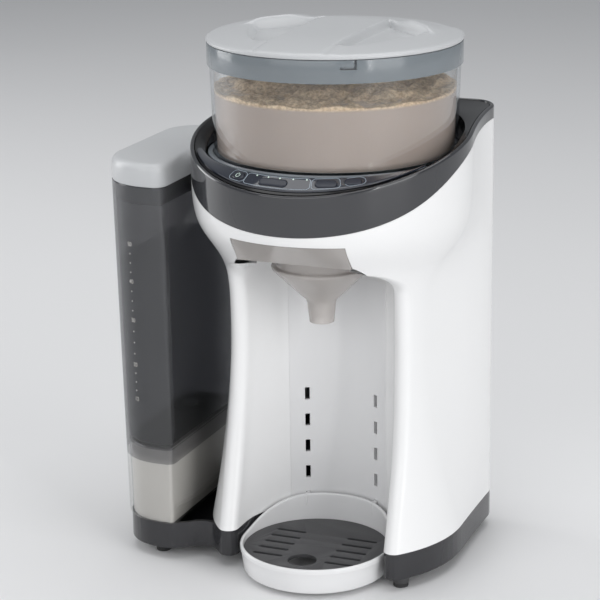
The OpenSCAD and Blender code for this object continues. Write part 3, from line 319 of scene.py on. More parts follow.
# Above its floor the tank's wall takes a dark tint: a light smoke, as at its foot, with painted shade for the
# dark seen through it.
finishes["shaded_smoke"] = thin_wall("tank_wall_painted_shade", (0.5, 0.5, 0.51), 0.02, 0.07, 0.6, painted_rim_shade)
finishes["smoke_foot"] = thin_wall("tank_foot_plastic", (0.93, 0.93, 0.925), 0.02, 0.05, 0.6, painted_rim_shade)
finishes["funnel"] = see_through("funnel_plastic", (0.7, 0.665, 0.64), 0.1, 0.5)
# The water's grey tint is painted shade as well.
finishes["water"] = thin_wall("water", (0.66, 0.67, 0.69), 0.01, 0.01, 0.25, (0.2, 0.2, 0.21))
print("finishes:", len(finishes))

# %% [markdown]
# A new piece is a surface on a grid: points worked out as whole arrays, with a
# face between each four neighbours. These helpers make the faces, put the mesh
# on its body and give it a finish.

# %% Grid helpers
WELD = 2e-6


def grid_faces(rows, columns, close_rows=False, close_columns=False):
    """Quads between neighbours of a rows x columns grid of points, as an array."""
    i, j = np.meshgrid(np.arange(rows if close_rows else rows - 1),
                       np.arange(columns if close_columns else columns - 1), indexing="ij")
    i, j = i.ravel(), j.ravel()
    i2, j2 = (i + 1) % rows, (j + 1) % columns
    return np.stack([i * columns + j, i * columns + j2, i2 * columns + j2, i2 * columns + j], 1)


def make_mesh(name, points_mm, faces, sharp=35.0):
    """A mesh from points in millimetres about the axis, welded, smooth but for sharp edges."""
    mesh = bpy.data.meshes.new(name)
    points = (np.asarray(points_mm, float).reshape(-1, 3) + AXIS) * MM
    mesh.from_pydata(points.tolist(), [], [list(map(int, f)) for f in faces])
    work = bmesh.new()
    work.from_mesh(mesh)
    bmesh.ops.remove_doubles(work, verts=work.verts, dist=WELD)
    bmesh.ops.dissolve_degenerate(work, edges=work.edges, dist=WELD / 2)
    bmesh.ops.recalc_face_normals(work, faces=work.faces)
    work.to_mesh(mesh)
    work.free()
    return smooth(mesh, sharp)


def smooth(mesh, sharp):
    """Smooth shading that breaks at edges sharper than an angle in degrees."""
    mesh.shade_smooth()
    mesh.set_sharp_from_angle(angle=math.radians(sharp))
    return mesh


def linked(name, data):
    """A new object in the scene."""
    item = bpy.data.objects.new(name, data)
    bpy.context.collection.objects.link(item)
    return item


def add_piece(name, mesh, body, finish, replaces=()):
    """Puts a mesh on a body, in a finish, in the place of the nodes it replaces."""
    piece = linked(name, mesh)
    mesh.materials.clear()
    mesh.materials.append(finishes[finish].material)
    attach(piece, body)
    if replaces:
        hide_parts(*replaces)
    return piece


def joined(*parts):
    """Several (points, faces) as one."""
    points, faces, count = [], [], 0
    for p, f in parts:
        p = np.asarray(p, float).reshape(-1, 3)
        points.append(p)
        faces += [[int(k) + count for k in face] for face in f]
        count += len(p)
    return np.concatenate(points), faces


def sheet_grid(x, y, z, close_columns=False):
    """Points and faces of a surface given as three arrays of one shape."""
    x, y, z = np.broadcast_arrays(x, y, z)
    return np.stack([x, y, z], -1).reshape(-1, 3), grid_faces(*x.shape, close_columns=close_columns)


def rounded(corners, radius=0.6, steps=5):
    """A profile with its corners rounded. Each arc is a quadratic curve cut off at radius."""
    out, n = [], len(corners)
    for k, corner in enumerate(corners):
        p, r = np.array(corner[:2], float), corner[2] if len(corner) > 2 else radius
        before, after = np.array(corners[k - 1][:2], float), np.array(corners[(k + 1) % n][:2], float)
        a, b = before - p, after - p
        cut = min(r, np.linalg.norm(a) * 0.45, np.linalg.norm(b) * 0.45)
        a, b = p + a / np.linalg.norm(a) * cut, p + b / np.linalg.norm(b) * cut
        t = np.linspace(0, 1, steps)[:, None]
        out.append((1 - t) ** 2 * a + 2 * t * (1 - t) * p + t ** 2 * b if cut > 1e-6 else p[None])
    return np.concatenate(out)


def turns(steps):
    """Angles all the way round, without the last."""
    return np.linspace(0, 2 * np.pi, steps, endpoint=False)


def loop_caps(count, rows):
    """End faces that close the first and last of so many rows of count points."""
    return [list(range(count))[::-1], [k + (rows - 1) * count for k in range(count)]]


def row_ends(rows, columns):
    """End faces over the first and last columns of a grid whose rows close."""
    return [[k * columns + column for k in range(rows)] for column in (0, columns - 1)]


def step(value, start, stop):
    """0 before start and 1 past stop, by a smooth step."""
    t = np.clip((value - start) / (stop - start), 0, 1)
    return t * t * (3 - 2 * t)


def lathe(profile, steps=128, centre=(0, 0)):
    """A closed profile of radius and height, turned about an upright axis."""
    angle = turns(steps)
    r, z = np.asarray(profile).T[:, :, None]
    x, y = centre[0] + r * np.cos(angle), centre[1] + r * np.sin(angle)
    points = np.stack([x, y, z + 0 * x], -1).reshape(-1, 3)
    return points, grid_faces(len(profile), steps, close_rows=True, close_columns=True)


# %% [markdown]
# The white body is one tall moulding: round in front, straight at the back,
# drawn in at its waist, and flared at the head. Its section changes with
# height, so the whole form is one function of a place along the outline and a
# height. The outline runs from the middle of the front, round the flank, to the
# middle of the back, and a second one runs round the nose into the bay.

# %% The section of the body
side_x, corner_r, side_start_y = 88.0, 18.0, 45.0
foot_r, waist_r, head_r, head_shift = 89.5, 73.5, 95.5, 6.5
waist_h, neck_flare, ceiling_t, shell_t = 138, 9.2, 6, 3
waist_z, neck_z = base_top + waist_h, base_top + 200.5
bay_top = flange_z - ceiling_t
bay_half, bay_y, arch_r, nose_r = 54.0, -42.0, 20.0, 7.0
FACE, FLANK, SIDE, CORNER, BACK, NOSE, CHEEK, BAY = range(8)


def section(part, t, z, inset=0.0):
    """x and y of the outline. part says which run of it, t how far along, z the height.

    The front is a circle whose radius swells away from the waist and flares in a
    logistic step at the neck. The side is a quadratic curve from the circle to
    the straight wall, and the nose is a circle touching both front and bay."""
    part, t, z = np.broadcast_arrays(part, t, np.asarray(z, float))
    r = waist_r + (head_r - waist_r) / (1 + np.exp((neck_z - z) / neck_flare))
    r = r + (foot_r - waist_r) * np.clip((waist_z - z) / waist_h, 0, None) ** 1.7 - inset
    centre = -head_shift / (1 + np.exp((neck_z + 10.5 - z) / 6))
    climb = np.clip(z - (bay_top - arch_r), 0, arch_r)
    w = bay_half - (arch_r - np.sqrt(arch_r ** 2 - climb ** 2)) + inset
    nose = nose_r - inset
    a, b = r - nose, w + nose
    line_y = centre - np.sqrt(np.clip(a ** 2 - b ** 2, 0, None))
    drop = np.where(np.abs(centre - bay_y) < 1e-6, 1e-6, centre - bay_y)
    ring_y = (centre ** 2 - bay_y ** 2 - a ** 2 + b ** 2) / (2 * drop)
    straight = line_y < bay_y
    ny = np.where(straight, line_y, ring_y)
    nx = np.where(straight, b, np.sqrt(np.clip(a ** 2 - (ny - centre) ** 2, 0, None)))
    a_out = np.arctan2(ny - centre, nx)
    a_in = np.where(straight, 0.0, np.arctan2(ny - bay_y, nx))
    px = side_x - inset
    dy = side_start_y - centre
    phi = np.arctan2(dy, px) - np.arccos(r / np.hypot(px, dy))
    cy = back_y - corner_r
    face = -np.pi / 2 + t * (a_out + np.pi / 2)
    flank = a_out + t * (phi - a_out)
    sx = (1 - t) ** 2 * r * np.cos(phi) + 2 * t * (1 - t) * px + t ** 2 * px
    sy = (1 - t) ** 2 * (centre + r * np.sin(phi)) + 2 * t * (1 - t) * side_start_y + t ** 2 * cy
    turn = t * np.pi / 2
    nose_a = a_out - t * (np.pi + a_out - a_in)
    bay_a = a_in + t * (np.pi / 2 - a_in)
    x = np.select([part == k for k in range(8)], [
        r * np.cos(face), r * np.cos(flank), sx, side_x - corner_r + (corner_r - inset) * np.cos(turn),
        (side_x - corner_r) * (1 - t), nx + nose * np.cos(nose_a), w * np.cos(a_in) + 0 * t,
        w * np.cos(bay_a)])
    y = np.select([part == k for k in range(8)], [
        centre + r * np.sin(face), centre + r * np.sin(flank), sy, cy + (corner_r - inset) * np.sin(turn),
        back_y - inset + 0 * t, ny + nose * np.sin(nose_a),
        np.where(straight, ny + t * (bay_y - ny), bay_y + w * np.sin(a_in)), bay_y + w * np.sin(bay_a)])
    return x, y


def columns(*runs):
    """Runs of the outline, as (part, steps), joined into arrays of part and t."""
    part = np.concatenate([np.full(n + (k == len(runs) - 1), p) for k, (p, n) in enumerate(runs)])
    t = np.concatenate([np.linspace(0, 1, n, endpoint=False) if k < len(runs) - 1
                        else np.linspace(0, 1, n + 1) for k, (p, n) in enumerate(runs)])
    return part, t


outer_run = columns((FLANK, 40), (SIDE, 20), (CORNER, 12), (BACK, 8))
face_run = columns((FACE, 42))
bay_run = columns((NOSE, 14), (CHEEK, 4), (BAY, 24))
whole_run = columns((FACE, 24), (FLANK, 40), (SIDE, 20), (CORNER, 12), (BACK, 8))

# %% [markdown]
# Seen from the side, the dark ring sweeps up from the front to the back. Both
# of its edges are curves of height over depth. The skin's rows are stretched
# between levels, so the last row lies exactly on such an edge.

# %% The sweeping edges of the ring


def bezier(p, q, s, e, steps=80):
    """Points on a cubic curve."""
    t = np.linspace(0, 1, steps)[:, None]
    p, q, s, e = (np.array(v, float) for v in (p, q, s, e))
    return (1 - t) ** 3 * p + 3 * t * (1 - t) ** 2 * q + 3 * t ** 2 * (1 - t) * s + t ** 3 * e


front_y = -head_r - head_shift
low_edge = bezier((front_y, bay_top + 29), (-25, bay_top + 55), (-30, bay_top + 83), (back_y, bay_top + 79))
rim_edge = bezier((front_y, bay_top + 57.5), (-30, bay_top + 79), (10, bay_top + 87), (back_y, bay_top + 89))


def on_edge(run, edge):
    """Height at which each column of a run meets an edge, found by going back and forth."""
    z = np.full(run[0].shape, edge[:, 1].mean())
    for _ in range(12):
        _, y = section(*run, z)
        z = np.interp(y, edge[:, 0], edge[:, 1])
    return z


def both_sides(points, faces):
    """A surface and its mirror image across the machine's middle."""
    return [(points, faces), (points * [-1, 1, 1], faces[:, ::-1])]


def skin(run, levels):
    """The body's surface over a run of columns and an array of levels, on both sides."""
    x, y = section(run[0][None], run[1][None], levels)
    return both_sides(*sheet_grid(x, y, levels))


# %% [markdown]
# The housing is that skin with a wall: the flank, the face over the bay, and
# the bay with its arched top. Solidify gives it the wall, and then solids cut
# out what the mould leaves open: the funnel's passage, the window for its lip
# with the eased top of the arch beside it, the bay's back panel, the rear cover
# and the power inlet.

# %% Housing


def baked(piece):
    """The piece's mesh with its modifiers applied."""
    shown = piece.evaluated_get(bpy.context.evaluated_depsgraph_get())
    return bpy.data.meshes.new_from_object(shown)


def walled(name, mesh):
    """A working object of a skin, with the housing's wall inwards from it."""
    piece = linked(name + "_work", mesh)
    wall = piece.modifiers.new("wall", "SOLIDIFY")
    wall.thickness, wall.offset = shell_t * MM, -1
    return piece


def prism(outline, low, high, along=0):
    """Corners and faces of a solid: an outline in two axes, run from low to high along the third."""
    n = len(outline)
    points = np.insert(np.tile(np.array(outline, float), (2, 1)), along, np.repeat([low, high], n), axis=1)
    here = np.arange(n)
    sides = np.stack([here, np.roll(here, -1), np.roll(here, -1) + n, here + n], 1)
    return points, [here[::-1].tolist(), (here + n).tolist(), *sides.tolist()]


def block(low, high):
    """A box as a prism, from its low and high corners."""
    (y0, z0), (y1, z1) = low[1:], high[1:]
    return prism([(y0, z0), (y1, z0), (y1, z1), (y0, z1)], low[0], high[0])


def cut_out(piece, solids, exact):
    """The piece's mesh less solids of points in millimetres and faces. The piece goes.

    The first few, as many as exact says, are cut by the exact solver. It loses
    the whole housing at the arch, so the cuts from there on take the fast one."""
    cutters = []
    for k, (points, faces) in enumerate(solids):
        cutters.append(linked("cutter", make_mesh("cutter", points, faces)))
        cut = piece.modifiers.new("cut", "BOOLEAN")
        cut.object, cut.operation = cutters[-1], "DIFFERENCE"
        cut.solver = "EXACT" if k < exact else "FAST"
    bpy.context.view_layer.update()
    mesh = baked(piece)
    for extra in cutters + [piece]:
        bpy.data.objects.remove(extra)
    return mesh


lip_y, lip_rise, lip_back, flange_half, flange_t = -77.5, 17.0, 3.4, 40.0, 3.0
side_gap, far_front = 0.3, -120


def face_y(x, z):
    """How far forward the housing's face lies at height z, for each place across."""
    face_x, y = section(*face_run, z)
    order = np.argsort(face_x)
    return np.interp(np.abs(x), face_x[order], y[order])


def opening_cutter():
    """What the funnel's lip needs cut from the face: all that lies in front of the lip's back."""
    x = np.linspace(-flange_half - side_gap, flange_half + side_gap, 41)[:, None]
    top = face_y(x, flange_z + lip_rise) + lip_back + 0.7
    low, high, fold = flange_z - 4, flange_z + lip_rise + side_gap, flange_z + flange_t + 0.4
    y = np.concatenate([far_front + 0 * x, lip_y + 4 + 0 * x, lip_y + 4 + 0 * x, top, far_front + 0 * x], 1)
    points, faces = sheet_grid(x, y, np.array([[low, low, fold, high, high]]), close_columns=True)
    return points, faces.tolist() + loop_caps(5, len(x))


def housing_mesh():
    arch = bay_top - arch_r
    low = np.concatenate([np.linspace(base_top, arch, 40, endpoint=False),
                          arch + arch_r * np.sin(np.linspace(0, np.pi / 2, 14))])[:, None]
    t = np.linspace(0, 1, 22)[1:, None]
    parts = []
    for run, use_low, use_high in ((outer_run, True, True), (face_run, False, True), (bay_run, True, False)):
        levels = [low + 0 * run[1]] if use_low else [np.full((1, len(run[1])), bay_top)]
        if use_high:
            levels.append(bay_top + t * (on_edge(run, low_edge) - bay_top))
        parts += skin(run, np.concatenate(levels))
    x, y = section(*bay_run, bay_top)
    fx, fy = section(*face_run, bay_top)
    parts += both_sides(*sheet_grid(np.stack([x, fx[::-1]]), np.stack([y, fy[::-1]]), bay_top))
    piece = walled("housing", make_mesh("housing", *joined(*parts)))
    low_z, top_z, passage, arch_x = bay_top - 12, flange_z + 0.57, 33, 51
    t = np.linspace(0, 1, 9)[:, None]
    start, pull, stop = [flange_half + side_gap, top_z], [47, flange_z - 3], [arch_x, bay_top - 9]
    bend = (1 - t) ** 2 * start + 2 * t * (1 - t) * pull + t ** 2 * stop
    eased = np.array([(passage - 0.4, low_z), (passage - 0.4, top_z), *bend, (arch_x, low_z)])
    panel_low, panel_high = box_mm("bay_back_panel")
    room = 0.15
    solids = [block((-passage, far_front, bay_top - 6), (passage, 2, flange_z + 0.5)), opening_cutter(),
              prism(eased, far_front, -62, 1), prism(eased * [-1, 1], far_front, -62, 1),
              block((panel_low[0] - room, -10, base_top - 5), (panel_high[0] + room, 30, panel_high[2] + room))]
    for node, grow in (("rear_cover", 0.2), ("power_inlet", -1.8)):
        (x0, _, z0), (x1, _, z1) = box_mm(node)
        solids.append(block((x0 - grow, back_y - 8, z0 - grow), (x1 + grow, back_y + 8, z1 + grow)))
    return smooth(cut_out(piece, solids, exact=2), 30)


housing = add_piece("housing", housing_mesh(), "frame", "white", ["housing_shell"])
print("housing:", len(housing.data.polygons), "faces")

# %% [markdown]
# The bay's back panel is the same curve of the bay, cut by two rows of hook
# slots. Rows and columns are laid out so that the slots fall between them, and
# the faces inside the slots are left out before the wall is given.

# %% Bay back panel
panel_low, panel_high = box_mm("bay_back_panel")
slot_x, slot_w, slot_h, slot_pitch, slot_count = 25.5, 3.0, 9.0, 19.5, 5
slot_edges = np.array([slot_x - slot_w / 2, slot_x + slot_w / 2])
x_lines = np.sort(np.concatenate([np.linspace(panel_low[0], panel_high[0], 37), slot_edges, -slot_edges]))
slot_z = base_top + 0.5 + slot_pitch * np.arange(slot_count)
z_lines = np.unique(np.concatenate([[panel_low[2], panel_high[2]], slot_z, slot_z + slot_h,
                                    np.linspace(slot_z[-1] + 20, panel_high[2], 8)]).round(4))
gx, gz = np.meshgrid(x_lines, z_lines)
gy = bay_y + np.sqrt(bay_half ** 2 - gx ** 2)
panel_points, panel_faces = sheet_grid(gx, gy, gz)
middle = panel_points[panel_faces].mean(1)
in_slot = (np.abs(np.abs(middle[:, 0]) - slot_x) < slot_w / 2) & \
    ((middle[:, 2][:, None] > slot_z) & (middle[:, 2][:, None] < slot_z + slot_h)).any(1)
panel_mesh = make_mesh("bay_back", panel_points, panel_faces[~in_slot])
if np.mean([p.normal.y for p in panel_mesh.polygons]) > 0:
    panel_mesh.flip_normals()
panel_mesh = smooth(cut_out(walled("bay_back", panel_mesh), [], exact=0), 30)
add_piece("bay_back", panel_mesh, "frame", "bay", ["bay_back_panel"])
print("bay back panel with", int(in_slot.sum()), "faces left out for", 2 * slot_count, "slots")

# %% [markdown]
# The dark ring is a band whose section is an upright wall with a rolled top
# edge. Each row of it is the outline at its own inset, so the roll stays even
# all the way round.

# %% Dark ring
ring_bottom = on_edge(whole_run, low_edge)
ring_top = on_edge(whole_run, rim_edge)
roll, ring_gap = 1.5, 0.25
turn = np.linspace(0, np.pi, 13)[:, None]
share = np.linspace(0, 1, 16)[:, None]
up_levels = ring_bottom + ring_gap + share * (ring_top - roll - ring_bottom - ring_gap)
roll_levels = ring_top - roll + roll * np.sin(turn[1:])
roll_inset = roll * (1 - np.cos(turn[1:]))
down_levels = up_levels[::-1]
levels = np.concatenate([up_levels, roll_levels, down_levels])
insets = np.concatenate([0 * up_levels, roll_inset + 0 * ring_top, 2 * roll + 0 * down_levels])
x, y = section(whole_run[0][None], whole_run[1][None], levels, insets)
half = np.stack([x, y, levels], -1)
ring_faces = grid_faces(*levels.shape, close_rows=True)
ring = make_mesh("ring", *joined(*both_sides(half, ring_faces)))
add_piece("ring", ring, "frame", "ring", ["top_ring"])
print("ring rises from", ring_bottom.min().round(1), "to", ring_top.max().round(1))

# %% [markdown]
# Inside the ring a black slope falls from the canister's well to the ring's
# foot in front, and lies level with the rim at the back. Its height is known on
# the well's edge and on the ring, and runs straight between them. The same
# function places everything on the slope: the panel, its keys and its marks.

# %% The slope
well_r, deck_gap, deck_t = 86.8, 3.3, 2.5


def rim_at(y):
    return np.interp(y, rim_edge[:, 0], rim_edge[:, 1])


def deck_in(y):
    """Height at the well: level in front, and up to the rim at the back by a smooth step."""
    return seat_z + 1 + step(y, -60, 15) * (rim_at(y) - 3 - seat_z)


def deck_out(y):
    return rim_at(y) - 0.8


def on_slope(angle, s, lift=0.0):
    """Points on the slope: angle from the front in degrees, s from the well (0) to the ring (1)."""
    a = np.radians(angle)
    far = head_shift * np.cos(a) + np.sqrt((head_r - deck_gap) ** 2 - (head_shift * np.sin(a)) ** 2)
    r = well_r + (far - well_r) * s
    inner, outer = deck_in(-well_r * np.cos(a)), deck_out(-far * np.cos(a))
    return np.stack(np.broadcast_arrays(r * np.sin(a), -r * np.cos(a),
                                        inner + (outer - inner) * s + lift), -1)


px, py = section(*whole_run, np.full(whole_run[0].shape, seat_z), deck_gap)
reach = np.hypot(px, py)
well = np.minimum(well_r, reach - 1.5)
wx, wy = px * well / reach, py * well / reach
z_well, z_ring = deck_in(py * well_r / reach), deck_out(py)
s = np.linspace(0, 1, 16)[:, None]
slope_x, slope_y, slope_z = wx + (px - wx) * s, wy + (py - wy) * s, z_well + (z_ring - z_well) * s
slope_z = slope_z - 0.5 * np.exp(-s * 14)
down = np.linspace(0, 1, 5)[:, None]
rows = [np.stack([wx + 0 * down, wy + 0 * down, seat_z - 4 + (z_well - 1.3 - seat_z + 4) * down], -1),
        np.stack([slope_x, slope_y, slope_z], -1),
        np.stack([slope_x, slope_y, slope_z - deck_t], -1)[::-1][:-2]]
back = (well + 1.2) / reach
rows.append(np.stack([px * back, py * back, np.full(px.shape, seat_z - 4.0)], -1)[None])
grid = np.concatenate(rows)
faces = grid_faces(*grid.shape[:2], close_rows=True)
deck = make_mesh("deck", *joined(*both_sides(grid, faces)))
add_piece("deck", deck, "frame", "deck", ["top_deck"])
print("slope from", z_well.min().round(1), "to", z_ring.max().round(1))

# %% [markdown]
# The control panel is a film over the slope, with round ends, and four oval
# keys stand in it. A key's outline is a stadium: its points are pushed inwards
# and up row by row, which rounds the cap's edge.

# %% Control panel and keys
panel_end, panel_in, panel_middle, panel_out = 60.0, 0.16, 0.52, 0.88
panel_low, panel_up = 0.5, 1.7
key_places = {"power_key": (-21.5, 9.0), "volume_key": (-4.5, 20.0),
              "start_key": (17.3, 14.0), "info_key": (28.0, 11.0)}
key_width, key_gap, hole_depth = 6.0, 0.35, 8


def slope_axes(angle):
    """A point on the panel at its middle, and the directions along it, up it and out of it."""
    p, q = on_slope(angle, 0.3), on_slope(angle, 0.7)
    tilt = np.arctan2(p[2] - q[2], np.hypot(*(q - p)[:2]))
    a = np.radians(angle)
    along = np.array([np.cos(a), np.sin(a), 0])
    climb = np.array([-np.sin(a) * np.cos(tilt), np.cos(a) * np.cos(tilt), np.sin(tilt)])
    return on_slope(angle, panel_middle, panel_up - 0.15), along, climb, np.cross(along, climb)


def stadium(length, width, inset, steps=32):
    """Outline of an oval with straight sides, as x and y, pushed inwards by inset."""
    a = turns(steps) + 1e-3
    r = width / 2 - inset
    return r * np.cos(a) + np.sign(np.cos(a)) * (length - width) / 2, r * np.sin(a)


def oval_solid(angle, length, width, levels):
    """A solid on the slope from rows of (inset, height), closed at both ends."""
    origin, along, climb, out = slope_axes(angle)
    grid = []
    for inset, height in levels:
        u, v = stadium(length, width, inset)
        grid.append(origin + u[:, None] * along + v[:, None] * climb + height * out)
    points = np.array(grid)
    faces = grid_faces(*points.shape[:2], close_columns=True).tolist()
    return points.reshape(-1, 3), faces + loop_caps(points.shape[1], len(levels))


angles = np.linspace(-panel_end, panel_end, 121)[None]
v = np.linspace(-1, 1, 11)[:, None]
end_run = 5
end = np.clip((np.abs(angles) - (panel_end - end_run)) / end_run, 0, 1)
half_width = (panel_out - panel_in) / 2 * np.sqrt(1 - 0.97 * end ** 2)
s = (panel_in + panel_out) / 2 + v * half_width
edge = np.abs(v) > 0.99
top = on_slope(angles, s, panel_up - 0.18 * edge)
under = on_slope(angles, s, panel_low)[::-1]
grid = np.concatenate([top, under])
faces = grid_faces(*grid.shape[:2], close_rows=True).tolist() + row_ends(*grid.shape[:2])
holes = [oval_solid(angle, length + 2 * key_gap, key_width + 2 * key_gap, [(0, -hole_depth), (0, hole_depth)])
         for angle, length in key_places.values()]
panel_mesh = cut_out(linked("strip_work", make_mesh("panel", grid, faces)), holes, exact=len(holes))
add_piece("panel", smooth(panel_mesh, 30), "frame", "film", ["control_panel"])

cap = [(0, -3.5), (0, 0.35), (0.1, 0.52), (0.3, 0.64), (0.6, 0.7), (1.4, 0.74), (2.6, 0.76)]
for name, (angle, length) in key_places.items():
    add_piece(name + "_cap", make_mesh(name, *oval_solid(angle, length, key_width, cap), sharp=50),
              name, "key", [name])
print("panel and", len(key_places), "keys")

# %% [markdown]
# The lid turns in a bayonet, so it carries a bridge to grip with a finger
# hollow on each side. Its top is a height over the plan: a shallow dome, less
# the hollows, plus the bridge and a low hood behind each hollow. Each of these
# is a product of soft steps.

# %% Canister lid
lid_r, lid_rim, lid_steps = 86.0, 3.2, 320


def lid_height(x, y):
    """Height of the lid's top. The crest parts each finger hollow from the hood behind it."""
    r = np.hypot(x, y) / lid_r
    u = np.abs(x)
    dome = lid_rim + 4.2 * (1 - np.clip(r, 0, 1) ** 3.5) - 1.4 * step(y, 40, 58)
    behind = (u - 34) * 0.67 + (y - 34) * 0.742
    outer = 25 + 38 * np.sqrt(np.clip((y + 58) / 64, 0, 1))
    hollow = step(u, 22.5, 25) * (1 - step(u, outer - 6, outer + 1)) * (1 - step(behind, -2.0, 0.6))
    hood = np.exp(-(np.clip(behind - 2, 0, None) / 13) ** 2) * step(behind, -1.6, 1.8)
    hood = hood * step(u, 30, 46) * (1 - step(u, 58, 72)) * (1 - r ** 8)
    ridge = 0.8 * step(u, 34, 22) * (1 - step(y, 44, 62))
    return lid_z + dome - 5.6 * hollow + 3.4 * hood + ridge


rings = np.append(np.linspace(0.012, 0.93, 110), 1 - 0.07 * (1 - np.linspace(0.1, 1, 8)) ** 1.5)[:, None]
turn = turns(lid_steps)[None]
x, y = lid_r * rings * np.cos(turn), lid_r * rings * np.sin(turn)
z = lid_height(x, y) - 1.0 * np.clip((rings - 0.972) / 0.028, 0, 1) ** 2
plug_r = 80.8
brim = np.array([(lid_r, 1.2), (lid_r - 0.5, 0.45), (lid_r - 1.5, 0.35), (plug_r + 0.2, 0.35), (plug_r, 0),
                 (plug_r, -6.4), (plug_r - 0.5, -7), (plug_r - 1.6, -7), (plug_r - 2, -6.4), (plug_r - 2, 1),
                 (plug_r - 3, 1.6), (1, 1.6)])
brim_r, brim_z = brim.T[:, :, None]
x = np.concatenate([x, brim_r * np.cos(turn)])
y = np.concatenate([y, brim_r * np.sin(turn)])
z = np.concatenate([z, lid_z + brim_z + 0 * turn])
lid_points, lid_faces = sheet_grid(x, y, z, close_columns=True)
lid_mesh = make_mesh("lid", lid_points, lid_faces.tolist() + loop_caps(lid_steps, len(z)), sharp=50)
add_piece("lid", lid_mesh, "canister_lid", "lid", ["canister_lid"])
print("lid up to", round(float(z.max()), 1))

# %% [markdown]
# The canister is a clear wall that leans out a little. Its foot is hidden by
# the seat, and round its top lies the clouded collar of the bayonet, whose
# notch shows as a dark step. The wall is a turned profile.

# %% Canister
foot_out, rim_out, wall_t, floor_t, hub_r = 82.0, 84.6, 2.2, 2.5, 8.6


def canister_r(z):
    return foot_out + (rim_out - foot_out) * (z - seat_z) / (lid_z - seat_z)


wall_profile = rounded([(hub_r, seat_z), (foot_out, seat_z, 1.2), (rim_out, lid_z - 0.02, 0.5),
                        (rim_out - wall_t, lid_z - 0.02, 0.5), (foot_out - wall_t, seat_z + floor_t, 1.2),
                        (hub_r, seat_z + floor_t)], 0.3)
canister_mesh = make_mesh("canister", *lathe(wall_profile, 192))
add_piece("canister", canister_mesh, "canister", "clear", ["canister_body"])

# %% [markdown]
# Formula powder is a contents, not a part, so it is made only here. It is a
# mound with a granular top, worked out as a height over the plan: a slow swell,
# clumps, and fine grains from sines whose directions turn by the golden angle.
# Under the top it is only a skin on the canister's wall, which leaves room for
# the stirrer.

# %% Powder
GOLDEN_ANGLE = 2.39996
powder_gap, powder_z, powder_steps = 0.12, 331.2, 420


def grains(x, y, size, waves, seed):
    """A rough height of about 1, as a sum of sines in directions a golden angle apart."""
    k = np.arange(waves)
    a = k * GOLDEN_ANGLE + seed
    total = 0
    for angle, phase in zip(a, 12.9898 * k + seed):
        along = (x * np.cos(angle) + y * np.sin(angle)) / size
        total = total + np.sin(along * (1 + 0.35 * np.sin(phase)) + phase)
    return total / np.sqrt(waves / 2)


def powder_top(x, y):
    r = np.hypot(x, y)
    swell = 12 * np.exp(-((x + 8) / 52) ** 2 - ((y - 18) / 48) ** 2)
    clumps = 1.3 * grains(x, y, 7.0, 12, 2.0) + 0.7 * grains(x, y, 2.6, 14, 5.0)
    clumps = clumps + 0.35 * grains(x, y, 1.1, 16, 9.0)
    return 331.5 + swell + clumps * (0.45 + 0.55 * step(80 - r, 0, 6)) + 1.2 * np.exp(-(r - 80) ** 2 / 30)


def powder_r(z):
    return canister_r(z) - wall_t - powder_gap


turn = turns(powder_steps)[None]
rings = np.linspace(0.004, 1, 150)[:, None]
rim_r = powder_r(332.0)
x, y = rim_r * rings * np.cos(turn), rim_r * rings * np.sin(turn)
z = powder_top(x, y)
x[-1], y[-1] = [powder_r(z[-1]) * f for f in (np.cos(turn[0]), np.sin(turn[0]))]
powder_foot, skin_r = seat_z + floor_t + 0.2, 78.6
side_z = z[-1] + (powder_foot - z[-1]) * np.linspace(0.04, 1, 12)[:, None]
under_r = np.array([skin_r, skin_r, 0.4])[:, None] + 0 * turn
under_z = np.array([powder_foot, powder_z - 1.0, powder_z])[:, None] + 0 * turn
low_r = np.concatenate([powder_r(side_z), under_r])
x = np.concatenate([x, low_r * np.cos(turn)])
y = np.concatenate([y, low_r * np.sin(turn)])
z = np.concatenate([z, side_z, under_z])
powder_points, powder_faces = sheet_grid(x, y, z, close_columns=True)
powder_faces = powder_faces.tolist() + loop_caps(powder_steps, len(z))

powder = Finish("powder", Subsurface_Weight=0.15, Subsurface_Radius=(0.004, 0.003, 0.002))
height = powder.add("SeparateXYZ", None, powder.place(), output="Z")
speckle = powder.noise(420, 4, roughness=0.7)
clump = powder.noise(90, 5, roughness=0.6)
packed = powder.tint(powder.noise(12, 3), (0.4, 0.32, 0.27), (0.5, 0.41, 0.35))
loose = powder.tint(speckle.above(0.5, 0.12) * 0.7 + clump * 0.3, (0.5, 0.34, 0.2), (0.97, 0.76, 0.52))
mask = height.above(0.3308, 0.0012)
mixed = powder.add("Mix", {"data_type": "RGBA"}, mask, *[None] * 5, packed, loose, output=2)
powder.set("Base Color", mixed)
powder.set("Roughness", 0.95 - speckle * 0.1)
powder.bump((speckle + clump * 0.5) * (0.15 + mask * 0.85), 0.8)
finishes["powder"] = powder
powder_mesh = make_mesh("powder", powder_points, powder_faces, sharp=180)
add_piece("powder", powder_mesh, "canister", "powder")
print("powder up to", round(float(z.max()), 1))

# %% [markdown]
# The smaller mouldings keep the frame's own shape, and need only what a mould
# adds to it: edges that aren't knife-sharp. Their triangles are merged back
# into flat faces first, so that the bevel follows true edges.

# %% Softened mouldings


